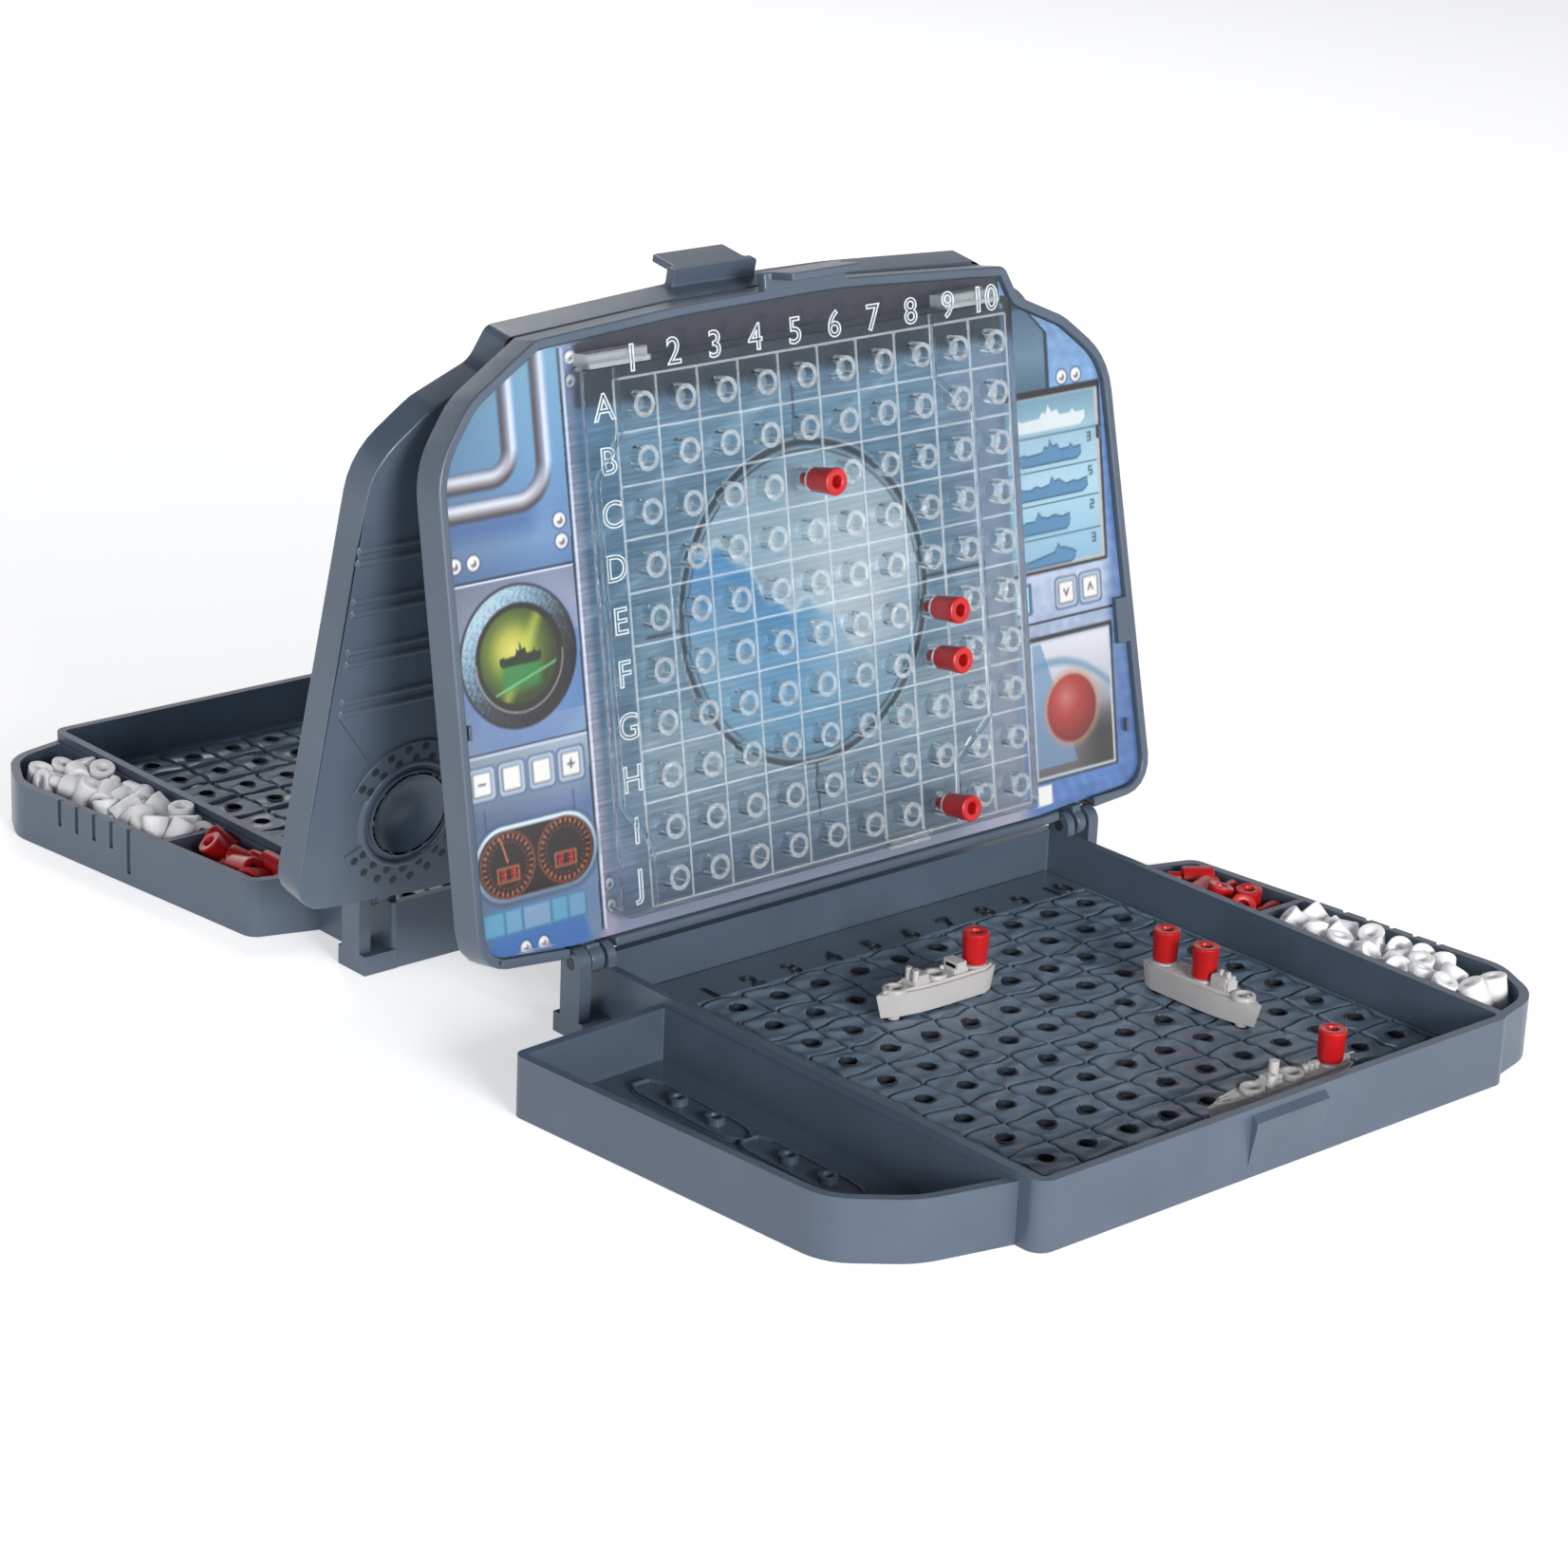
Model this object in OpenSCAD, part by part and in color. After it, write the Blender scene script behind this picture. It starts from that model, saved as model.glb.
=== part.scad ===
// Fleet guessing case: two identical hinged peg-board cases standing back to back.
// Frame: +Z up, millimetres, origin on the table midway between the two cases.
// The front case faces -Y; the rear case is the same case turned half round about Z.

/* [Peg board] */
// distance between neighbouring holes of the ocean board
cell = 13; // [10:0.5:16]
// distance between neighbouring rings of the upright target board
target_cell = 12.5; // [10:0.25:15]
// number of rows and of columns
rows = 10; // [6:1:12]
// bore of the ocean holes
hole_d = 4; // [3:0.1:5]
// X of the middle of the ocean board
ocean_x = 17; // [0:1:30]
// Y of the middle of the ocean board
ocean_y = -110; // [-120:1:-100]

/* [Tray] */
// height of the centre block above the table
tray_h = 17; // [14:0.5:24]
// height of the side bins above the table
bin_h = 15; // [10:0.5:20]
// wall thickness
wall = 2.4; // [1.6:0.1:4]
// floor thickness
floor_t = 2; // [1.2:0.1:4]
// top of the ocean board above the table
deck_top = 6; // [4:0.5:9]
// gap between the ocean board and the tray walls
fit_gap = 0.15; // [0.05:0.05:0.4]

/* [Lid and hinge] */
// lean of the open lid past upright
lean = 9.5; // [0:0.5:20]
// Y of the hinge axis
axis_y = -32.1; // [-40:0.1:-25]
// Z of the hinge axis
axis_z = 19; // [15:0.5:25]
// depth of the lid shell
lid_depth = 8.9; // [6:0.5:14]
// lid rim in front of the hinge axis
rim_w = 1.7; // [0:0.1:4]
// hinge pin diameter
pin_d = 3; // [2:0.1:5]
// radial clearance of the pin in the lid ear
pin_clear = 0.06; // [0.01:0.01:0.1]

/* [Pegs and ships] */
// peg head diameter
peg_d = 6.8; // [5:0.1:9]
// peg head height
peg_h = 8; // [6:0.5:10]
// peg stem diameter
stem_d = 3.2; // [2.5:0.1:4]
// peg stem length
stem_l = 4; // [3:0.5:6]
// height of a ship's deck above the ocean
ship_h = 6.5; // [4:0.5:9]
// width of a ship's hull
ship_w = 8; // [6:0.5:10]

/* [Hidden] */
slate = [0.36, 0.41, 0.46];
sea = [0.28, 0.36, 0.42];
paper = [0.30, 0.60, 0.78];
clear = [0.75, 0.85, 0.90, 0.5];
red = [0.78, 0.06, 0.06];
white = [0.93, 0.93, 0.92];
grey = [0.74, 0.73, 0.71];
steel = [0.55, 0.57, 0.60];
span = cell * (rows - 1);
target_span = target_cell * (rows - 1);

// plan of the tray: centre block, ship bin (left) and peg bins (right)
block_l = -69;
block_r = 86;
block_b = -26.3;
block_f = -181.5;
block = [[block_l, block_f], [block_r, block_f], [block_r, block_b], [block_l, block_b]];
block_radii = [4, 4, 1.5, 1.5];
ship_bin = [[block_l + 1, -174.5], [block_l + 1, -55.5], [-115, -58.1], [-107.9, -156.3], [-92, -169]];
ship_bin_radii = [0.5, 0.5, 3, 14, 22];
peg_bin = [[block_r - 1, -178.5], [104, -174], [112.6, -156.5], [103, -62.5], [block_r - 1, -57]];
peg_bin_radii = [0.5, 16, 14, 4, 0.5];
divider_y = -98.4;

// lid outline in lid coordinates: X across, B up from the hinge axis
lid_edge = [[-105, 4], [-76, 1.4], [76, 1.4], [117, 4], [109, 119], [94, 131], [78, 138], [74, 146],
            [18, 149.6], [-30, 149], [-74, 146.4], [-80, 143], [-94, 135], [-105, 121]];
lid_radii = [9, 20, 20, 9, 20, 18, 6, 3, 200, 200, 3, 6, 20, 22];
lid_pocket = [[-96, 12], [108, 12], [101, 113], [88, 122], [70, 131], [-70, 131], [-84, 126], [-96, 114]];
card_w = 0.2;            // front face of the printed card
screen_w = 6.2;          // front face of the clear screen
ring_w = 9.66;           // front of the target rings
target_x = 5.7;          // middle of the target board
target_j = 16.4;         // bottom row above the hinge axis
ear_x = [block_l - 4.6, block_r + 0.6];
ear_t = 4;
bracket_t = 3.4;
lug_r = 3.6;              // radius of the lugs that hold the hinge pins
latch_x = 8;

function unit(v) = v / norm(v);
// inward normal of an edge of an anticlockwise outline
function inward(a, b) = let (u = unit(b - a)) [-u[1], u[0]];
// outline moved inward by d with mitred corners
function inset(p, d) = [for (i = [0 : len(p) - 1])
    let (a = p[(i + len(p) - 1) % len(p)], b = p[i], c = p[(i + 1) % len(p)],
         m = inward(a, b), n = inward(b, c))
    b + d * (m + n) / (1 + m * n)];
// outline with every corner i rounded to radius r[i]
function corner(a, b, c, r, k) = let (u = unit(a - b), v = unit(c - b), g = acos(u * v) / 2,
        t = r / tan(g), t2 = min(t, 0.48 * min(norm(a - b), norm(c - b))), q = t2 * tan(g),
        o = b + unit(u + v) * q / sin(g), s = b + u * t2 - o, e = b + v * t2 - o,
        a0 = atan2(s[1], s[0]), d0 = atan2(e[1], e[0]) - a0,
        d = d0 > 180 ? d0 - 360 : d0 < -180 ? d0 + 360 : d0)
    [for (j = [0 : k]) o + q * [cos(a0 + d * j / k), sin(a0 + d * j / k)]];
function rounded(p, r, k = 5) = [for (i = [0 : len(p) - 1])
    each corner(p[(i + len(p) - 1) % len(p)], p[i], p[(i + 1) % len(p)], r[i], k)];
// rounded outline moved inward by d, its corner radii shrinking to match
function shape(p, r, d = 0) = rounded(inset(p, d), [for (x = r) max(x - d, 0.4)]);
function board_xy(col, row) = [ocean_x + (col - (rows + 1) / 2) * cell,
                               ocean_y + ((rows - 1) / 2 - row) * cell];
function target_xb(col, row) = [target_x + (col - (rows + 1) / 2) * target_cell,
                                target_j + (rows - 1 - row) * target_cell];
// repeatable pseudo-random number between 0 and 1
function chance(i, k) = let (s = sin(i * 127.1 + k * 311.7) * 437.585) s - floor(s);

module slab(outline, z0, z1) translate([0, 0, z0]) linear_extrude(z1 - z0) polygon(outline);
// lid coordinates (X, B, W) into the world, open or turned shut by angle a
module on_lid() translate([0, axis_y, axis_z]) rotate([90 - lean, 0, 0]) children();
module turned() rotate([0, 0, 180]) children();

module tray() {
    difference() {
        union() {
            slab(shape(block, block_radii), 0, tray_h);
            slab(shape(ship_bin, ship_bin_radii), 0, bin_h);
            slab(shape(peg_bin, peg_bin_radii), 0, bin_h);
            // hinge bosses on the block walls and brackets outside the lid ears
            for (s = [0, 1]) {
                x0 = s == 0 ? block_l : block_r - wall;
                hinge_lug(x0, wall, tray_h - 4);
                xb = s == 0 ? ear_x[0] - 0.6 - bracket_t : ear_x[1] + ear_t + 0.6;
                hinge_lug(xb, bracket_t, 0);
                translate([s == 0 ? xb : block_r - 1, axis_y - 5, 0])
                    cube([block_l + 1 - ear_x[0] + 0.6 + bracket_t, 11, 5]);
            }
            // latch wedge on the front wall
            translate([latch_x - 12, block_f, 0]) rotate([90, 0, 90])
                linear_extrude(24) polygon([[0.2, 3], [0, 3], [-1.8, 12.5], [-1.8, 14], [0, 15.5], [0.2, 15.5]]);
        }
        // centre well, bins and the step the ship bin's rim stands on
        slab(shape(block, block_radii, wall), floor_t, tray_h + 10);
        difference() {
            slab(shape(ship_bin, ship_bin_radii, wall), floor_t, bin_h + 1);
            translate([block_l - 0.1, -190, 0]) cube([20, 200, 30]);
        }
        difference() {
            slab(shape(peg_bin, peg_bin_radii, wall), floor_t, bin_h + 1);
            translate([block_r - 20 + 0.1, -190, 0]) cube([20, 200, 30]);
            translate([block_r - 1, divider_y - 1, 0]) cube([40, 2, bin_h]);
        }
        // finger grooves down the outer wall of the peg bins
        for (i = [0 : 4])
            translate([110.3 - i * 0.7, -138 + i * 7, i == 4 ? 3 : 8]) cylinder(d = 1.6, h = 20, $fn = 24);
        // bores for the hinge pins
        for (x = [block_l - 20, block_r - 10])
            translate([x, axis_y, axis_z]) rotate([0, 90, 0]) cylinder(d = pin_d, h = 30, $fn = 48);
    }
    // lip inside the ship bin and sockets that hold the stowed ships
    for (p = [[-104, -76], [-101.5, -100], [-99, -125], [-96, -150], [-84, -80], [-84, -93],
              [-84, -118], [-84, -131], [-82, -158]])
        translate([p[0], p[1], floor_t - 0.5]) difference() {
            cylinder(d = 4.6, h = 2.7, $fn = 32);
            translate([0, 0, 1]) cylinder(d = 2.8, h = 3, $fn = 32);
        }
}
module hinge_lug(x, t, z0) {
    translate([x, axis_y - lug_r, z0]) cube([t, 2 * lug_r, axis_z - z0]);
    translate([x, axis_y, axis_z]) rotate([0, 90, 0]) cylinder(r = lug_r, h = t, $fn = 48);
}

module ocean_board() difference() {
    union() {
        slab(shape(block, block_radii, wall + fit_gap), floor_t, deck_top - 0.8);
        for (i = [0 : rows - 1], j = [0 : rows - 1])
            translate([board_xy(i + 1, j)[0], board_xy(i + 1, j)[1], (deck_top + floor_t) / 2])
                cube([cell - 1, cell - 1, deck_top - floor_t], center = true);
    }
    for (i = [0 : rows - 1], j = [0 : rows - 1])
        translate([board_xy(i + 1, j)[0], board_xy(i + 1, j)[1], floor_t + 0.6])
            cylinder(d = hole_d, h = 10, $fn = 32);
}

module hinge_pins() for (s = [0, 1])
    translate([s == 0 ? ear_x[0] - 0.6 - bracket_t : block_r - wall, axis_y, axis_z]) rotate([0, 90, 0])
        cylinder(d = pin_d, h = wall + ear_t + 1.2 + bracket_t, $fn = 48);

module lid() on_lid() {
    difference() {
        union() {
            slab(shape(lid_edge, lid_radii), rim_w - lid_depth, rim_w);
            // raised bands across the outside of the shell
            for (k = [0 : 3], b = [-1.6, 1.6])
                translate([-103, 96 - k * 13 + b, rim_w - lid_depth - 0.7]) cube([213, 1.5, 1]);
            // tongue that snaps over the tray's wedge
            translate([latch_x - 13, 146, rim_w - 3]) cube([26, 7.5, 3]);
            translate([latch_x - 11, 151.6, rim_w - 3]) cube([22, 1.9, 11]);
            // ears round the hinge axis
            for (x = ear_x) {
                translate([x, 0, 0]) rotate([0, 90, 0]) cylinder(r = lug_r - 0.2, h = ear_t, $fn = 48);
                translate([x, 0, rim_w - lid_depth + 2]) cube([ear_t, 6, lid_depth - 2]);
            }
        }
        slab(shape(lid_edge, lid_radii, 2.4), card_w - 0.5, rim_w + 1);
        slab(rounded(lid_pocket, [6, 6, 6, 6, 6, 6, 6, 6]), rim_w - lid_depth + 2, rim_w + 1);
        for (x = ear_x) translate([x - 1, 0, 0]) rotate([0, 90, 0])
            cylinder(d = pin_d + 2 * pin_clear, h = ear_t + 2, $fn = 48);
        // room for the tray's hinge lugs
        for (x = [ear_x[0] - bracket_t - 1.4, ear_x[0] + ear_t, ear_x[1] - wall - 1.4, ear_x[1] + ear_t])
            translate([x, 0, 0]) rotate([0, 90, 0]) cylinder(r = lug_r + 1.6, h = bracket_t + 1.4, $fn = 48);
    }
    // speaker rings on the outside of the shell
    for (r = [14.5, 11])
        translate([86, 25, rim_w - lid_depth - 0.9]) difference() {
            cylinder(r = r, h = 1, $fn = 96);
            translate([0, 0, -1]) cylinder(r = r - 1.6, h = 3, $fn = 96);
        }
}

module console_card() on_lid() difference() {
    slab(shape(lid_edge, lid_radii, 2.7), card_w - 0.5, card_w);
    for (x = [ear_x[0] - bracket_t - 1.4, ear_x[0] + ear_t, ear_x[1] - wall - 1.4, ear_x[1] + ear_t])
        translate([x, 0, 0]) rotate([0, 90, 0]) cylinder(r = lug_r + 1.8, h = bracket_t + 1.4, $fn = 48);
}

screen = rounded([[-65.8, 8.6], [71, 8.6], [71, 139.5], [-65.8, 139.5]], [3, 3, 3, 3]);
module target_screen() on_lid() difference() {
    union() {
        difference() {
            slab(screen, card_w, screen_w);
            slab(inset(screen, 1.8), card_w - 1, screen_w - 2);
        }
        for (c = [1 : rows], r = [0 : rows - 1])
            translate([target_xb(c, r)[0], target_xb(c, r)[1], screen_w - 1]) cylinder(d = 6.2, h = ring_w - screen_w + 1, $fn = 32);
        // raised lines between the cells
        for (i = [0 : rows])
            translate([target_x + (i - rows / 2) * target_cell - 0.3, target_j - target_cell / 2, screen_w - 0.5])
                cube([0.6, target_span + target_cell, 0.9]);
        for (i = [0 : rows])
            translate([target_x - rows * target_cell / 2, target_j + (i - 0.5) * target_cell - 0.3, screen_w - 0.5])
                cube([rows * target_cell, 0.6, 0.9]);
    }
    for (c = [1 : rows], r = [0 : rows - 1])
        translate([target_xb(c, r)[0], target_xb(c, r)[1], screen_w - 3]) cylinder(d = 3.9, h = 10, $fn = 32);
}

// one peg standing on the point where its head meets the board
module peg() difference() {
    union() {
        cylinder(d1 = peg_d - 0.8, d2 = peg_d, h = peg_h, $fn = 48);
        translate([0, 0, -stem_l]) cylinder(d = stem_d, h = stem_l + 0.5, $fn = 32);
    }
    translate([0, 0, peg_h - 4]) cylinder(d = 3, h = 5, $fn = 32);
}

// pegs lying side by side in a bin, with a few more resting over the first rows
module heap(x0, y0, nx, ny, upper, dx, dy, seed)
    for (l = [0, 1], i = [0 : nx - 1 - l], j = [0 : (l == 0 ? ny : upper) - 1])
    translate([x0 + (i + l / 2) * dx, y0 + (j + l / 2) * dy, floor_t + peg_d / 2 + l * 5.9])
        rotate([0, 90, chance(i + 7 * l + seed, j) > 0.5 ? 90 : -90]) translate([0, 0, -peg_h / 2 + 2])
            rotate([0, 0, 30]) short_peg();
module short_peg() {
    difference() {
        cylinder(d1 = peg_d - 0.8, d2 = peg_d, h = peg_h, $fn = 32);
        translate([0, 0, peg_h - 4]) cylinder(d = 3, h = 5, $fn = 24);
    }
    translate([0, 0, -stem_l]) cylinder(d = stem_d, h = stem_l + 0.5, $fn = 24);
}
module white_pegs() heap(92.6, -160.5, 2, 5, 2, 8.2, 13.6, 3);
module red_pegs() heap(91.5, -88, 1, 2, 0, 8, 14.2, 11);

// hull with three peg sockets in line, bow towards -X
module hull_shape(bow, stern) {
    half = ship_w / 2;
    outline = [[-bow, 0], [-bow + 5, -half * 0.55], [-bow + 12, -half * 0.9], [-bow + 18, -half], [stern - 4, -half],
               [stern, -half * 0.55], [stern, half * 0.55], [stern - 4, half], [-bow + 18, half],
               [-bow + 12, half * 0.9], [-bow + 5, half * 0.55]];
    difference() {
        union() {
            slab(outline, 0.35, ship_h);
            slab(inset(outline, 0.9), ship_h - 1, ship_h + 0.5);
            children();
        }
        for (i = [-1 : 1]) translate([i * cell, 0, ship_h - 4.2]) cylinder(d = stem_d + 0.7, h = 20, $fn = 32);
    }
    for (i = [-1, 1]) translate([i * cell, 0, -3]) cylinder(d = 3, h = 3.6, $fn = 32);
}
module socket(i, h) translate([i * cell, 0, ship_h]) cylinder(d1 = 6.2, d2 = 5.6, h = h, $fn = 32);
module at_cell(col, row, turn) translate([board_xy(col, row)[0], board_xy(col, row)[1], deck_top])
    rotate([0, 0, turn]) children();
module escort() at_cell(4, 2, 0) hull_shape(19, 18) {
    socket(-1, 0.9); socket(0, 1.6); socket(1, 0.9);
    translate([5, -2.4, ship_h]) cube([3, 4.8, 3.4]);
    translate([-7.5, -2.2, ship_h]) cube([3.4, 4.4, 3]);
    for (y = [-1.2, 1.2]) translate([-7.6, y, ship_h]) cylinder(d = 1.6, h = 4.4, $fn = 24);
}
module submarine() at_cell(8, 5, 90) hull_shape(19, 18) {
    socket(-1, 0.9); socket(0, 0.9); socket(1, 0.9);
    translate([-8.6, -1.8, ship_h]) cube([4.6, 3.6, 3.6]);
    for (x = [-7.8, -5.6]) translate([x, 0, ship_h]) cylinder(d = 1.2, h = 4.8, $fn = 24);
}
module cruiser() at_cell(6, rows - 1, 0) hull_shape(25, 19) {
    socket(-1, 1.6); socket(0, 1.8); socket(1, 0.9);
    translate([-8.6, -1.4, ship_h]) cylinder(d = 2, h = 3.6, $fn = 24);
    translate([-6.4, 0, ship_h]) cylinder(d = 2.4, h = 6.2, $fn = 24);
    for (x = [4.6, 6.4, 8.2]) translate([x, 0, ship_h]) cylinder(d = 1.6, h = 2.2, $fn = 24);
}
module ship_peg(col, row, top) at_cell(col, row, 0) translate([0, 0, ship_h + top + 0.35]) peg();
module target_peg(col, row) on_lid()
    translate([target_xb(col, row)[0], target_xb(col, row)[1], ring_w + 0.35]) peg();

color(slate) tray();  // front_tray
color(sea) ocean_board();  // front_ocean_board
color(steel) hinge_pins();  // front_hinge_pins
color(slate) lid();  // front_lid
color(paper) console_card();  // front_console_card
color(clear) target_screen();  // front_target_screen
color(white) white_pegs();  // front_white_pegs
color(red) red_pegs();  // front_red_pegs
color(slate) turned() tray();  // rear_tray
color(sea) turned() ocean_board();  // rear_ocean_board
color(steel) turned() hinge_pins();  // rear_hinge_pins
color(slate) turned() lid();  // rear_lid
color(paper) turned() console_card();  // rear_console_card
color(clear) turned() target_screen();  // rear_target_screen
color(white) turned() white_pegs();  // rear_white_pegs
color(red) turned() red_pegs();  // rear_red_pegs
color(grey) escort();  // ship_escort
color(grey) submarine();  // ship_submarine
color(grey) cruiser();  // ship_cruiser
color(red) ship_peg(5, 2, 0.9);  // escort_peg
color(red) ship_peg(8, 4, 0.9);  // submarine_peg_aft
color(red) ship_peg(8, 5, 0.9);  // submarine_peg_mid
color(red) ship_peg(7, rows - 1, 0.9);  // cruiser_peg
color(red) target_peg(5, 2);  // target_peg_upper
color(red) target_peg(8, 5);  // target_peg_middle
color(red) target_peg(8, 6);  // target_peg_lower
color(red) target_peg(8, rows - 1);  // target_peg_bottom
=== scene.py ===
import math

import bmesh
import bpy
import numpy as np
from mathutils import Matrix, Vector


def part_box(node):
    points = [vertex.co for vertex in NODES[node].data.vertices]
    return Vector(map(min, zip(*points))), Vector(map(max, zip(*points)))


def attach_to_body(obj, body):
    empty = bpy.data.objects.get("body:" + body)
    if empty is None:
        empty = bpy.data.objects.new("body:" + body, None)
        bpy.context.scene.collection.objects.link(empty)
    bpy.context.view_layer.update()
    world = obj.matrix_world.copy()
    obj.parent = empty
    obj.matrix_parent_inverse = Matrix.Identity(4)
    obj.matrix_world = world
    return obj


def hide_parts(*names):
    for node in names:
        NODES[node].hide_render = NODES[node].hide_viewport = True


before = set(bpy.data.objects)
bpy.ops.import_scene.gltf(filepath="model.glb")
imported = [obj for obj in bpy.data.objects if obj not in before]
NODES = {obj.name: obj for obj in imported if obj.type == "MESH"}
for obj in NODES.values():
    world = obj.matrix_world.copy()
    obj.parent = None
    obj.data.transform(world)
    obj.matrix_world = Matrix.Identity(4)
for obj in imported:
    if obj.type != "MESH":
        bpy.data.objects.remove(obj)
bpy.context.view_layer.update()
MM = 0.001

# --- sizes shared with the CAD part, in millimetres ---
CELL, TCELL, N = 13.0, 12.5, 10
OCEAN = (17.0, -110.0)
DECK_TOP, FLOOR_T = 6.0, 2.0
LEAN = math.radians(9.5)
AXIS_Y, AXIS_Z = -32.1, 19.0
RIM_W, LID_DEPTH = 1.7, 8.9
CARD_W, SCREEN_W, RING_W = 0.2, 6.2, 9.66
TARGET_X, TARGET_J = 5.7, 16.4
PEG_D, PEG_H, STEM_D, STEM_L = 6.8, 8.0, 3.2, 4.0
SHIP_H, SHIP_W = 6.5, 8.0
LID_EDGE = [(-105, 4), (-76, 1.4), (76, 1.4), (117, 4), (109, 119), (94, 131), (78, 138), (74, 146),
    (18, 149.6), (-30, 149), (-74, 146.4), (-80, 143), (-94, 135), (-105, 121)]
LID_RADII = [9, 20, 20, 9, 20, 18, 6, 3, 200, 200, 3, 6, 20, 22]
SCREEN_BOTTOM, SCREEN_TOP = 8.6, 139.5

# lid coordinates (X across, B up, W towards the player) to the row frame
ON_LID = (Matrix.Translation((0, AXIS_Y * MM, AXIS_Z * MM))
          @ Matrix.Rotation(math.pi / 2 - LEAN, 4, "X") @ Matrix.Scale(MM, 4))
IN_MM = Matrix.Scale(MM, 4)
TURNED = Matrix.Rotation(math.pi, 4, "Z")


def on_case(base, turned):
    """The rear case is the front one turned half round."""
    return TURNED @ base if turned else base


def board_xy(col, row):
    return OCEAN[0] + (col - 5.5) * CELL, OCEAN[1] + (4.5 - row) * CELL


def target_xb(col, row):
    return TARGET_X + (col - 5.5) * TCELL, TARGET_J + (N - 1 - row) * TCELL


def grid_quads(nx, ny):
    """Point numbers of an ny by nx grid, and its four-sided faces."""
    idx = np.arange(nx * ny).reshape(ny, nx)
    corners = (idx[:-1, :-1], idx[:-1, 1:], idx[1:, 1:], idx[1:, :-1])
    return idx, np.column_stack([c.ravel() for c in corners])


# --- outlines ---
def inset(points, d):
    out = []
    for i in range(len(points)):
        a, b, c = (np.array(points[j % len(points)], float) for j in (i - 1, i, i + 1))
        u, v = (b - a) / np.linalg.norm(b - a), (c - b) / np.linalg.norm(c - b)
        m, n = np.array([-u[1], u[0]]), np.array([-v[1], v[0]])
        out.append(b + d * (m + n) / (1 + m @ n))
    return out


def rounded(points, radii, steps=8):
    out = []
    for i in range(len(points)):
        a, b, c = (np.array(points[j % len(points)], float) for j in (i - 1, i, i + 1))
        la, lc = np.linalg.norm(a - b), np.linalg.norm(c - b)
        u, v = (a - b) / la, (c - b) / lc
        half = math.acos(max(-1, min(1, u @ v))) / 2
        t = min(radii[i] / math.tan(half), 0.48 * min(la, lc))
        q = t * math.tan(half)
        o = b + (u + v) / np.linalg.norm(u + v) * q / math.sin(half)
        s, e = b + u * t - o, b + v * t - o
        a0 = math.atan2(s[1], s[0])
        turn = (math.atan2(e[1], e[0]) - a0 + math.pi) % (2 * math.pi) - math.pi
        for k in range(steps + 1):
            g = a0 + turn * k / steps
            out.append((o[0] + q * math.cos(g), o[1] + q * math.sin(g)))
    return out


def lid_shape(d):
    return rounded(inset(LID_EDGE, d), [max(r - d, 0.4) for r in LID_RADII])


# --- materials ---
def nodes_of(name):
    m = bpy.data.materials.new(name)
    m.use_nodes = True
    t = m.node_tree
    return m, t, t.nodes["Principled BSDF"]


def settings(node, values):
    for socket, value in values.items():
        node.inputs[socket].default_value = value


def noise(t, scale, detail=3.0, rough=0.55):
    c = t.nodes.new("ShaderNodeTexCoord")
    n = t.nodes.new("ShaderNodeTexNoise")
    settings(n, {"Scale": scale, "Detail": detail, "Roughness": rough})
    t.links.new(c.outputs["Object"], n.inputs["Vector"])
    return n


def ramp(t, fac, stops):
    r = t.nodes.new("ShaderNodeValToRGB")
    e = r.color_ramp.elements
    while len(e) < len(stops):
        e.new(0.5)
    for el, (p, c) in zip(e, stops):
        el.position, el.color = p, (*c, 1)
    t.links.new(fac, r.inputs["Fac"])
    return r


def bump(t, bsdf, height, strength, distance):
    b = t.nodes.new("ShaderNodeBump")
    settings(b, {"Strength": strength, "Distance": distance})
    t.links.new(height, b.inputs["Height"])
    t.links.new(b.outputs["Normal"], bsdf.inputs["Normal"])


def times(t, first, second):
    """Product of two colours."""
    mix = t.nodes.new("ShaderNodeMix")
    mix.data_type, mix.blend_type = "RGBA", "MULTIPLY"
    mix.inputs["Factor"].default_value = 1.0
    t.links.new(first, mix.inputs["A"])
    t.links.new(second, mix.inputs["B"])
    return mix.outputs["Result"]


def painted_layer(t, name):
    a = t.nodes.new("ShaderNodeVertexColor")
    a.layer_name = name
    return a.outputs["Color"]


def moulded(name, low, high, rough=(0.34, 0.5), grain=2600, strength=0.25, sss=0.0):
    """Moulded plastic: faint flow marks in the colour, fine spark-eroded grain in the surface."""
    m, t, b = nodes_of(name)
    flow = noise(t, 38, 4, 0.6)
    col = ramp(t, flow.outputs["Fac"], [(0.3, low), (0.7, high)])
    t.links.new(col.outputs["Color"], b.inputs["Base Color"])
    smear = noise(t, 160, 5, 0.65)
    r = t.nodes.new("ShaderNodeMapRange")
    settings(r, {"To Min": rough[0], "To Max": rough[1]})
    t.links.new(smear.outputs["Fac"], r.inputs["Value"])
    t.links.new(r.outputs["Result"], b.inputs["Roughness"])
    g = noise(t, grain, 2, 0.5)
    bump(t, b, g.outputs["Fac"], strength, 0.00005)
    if sss:
        settings(b, {"Subsurface Weight": sss, "Subsurface Radius": (0.002, 0.002, 0.002),
            "Subsurface Scale": 1.0})
    return m


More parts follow.
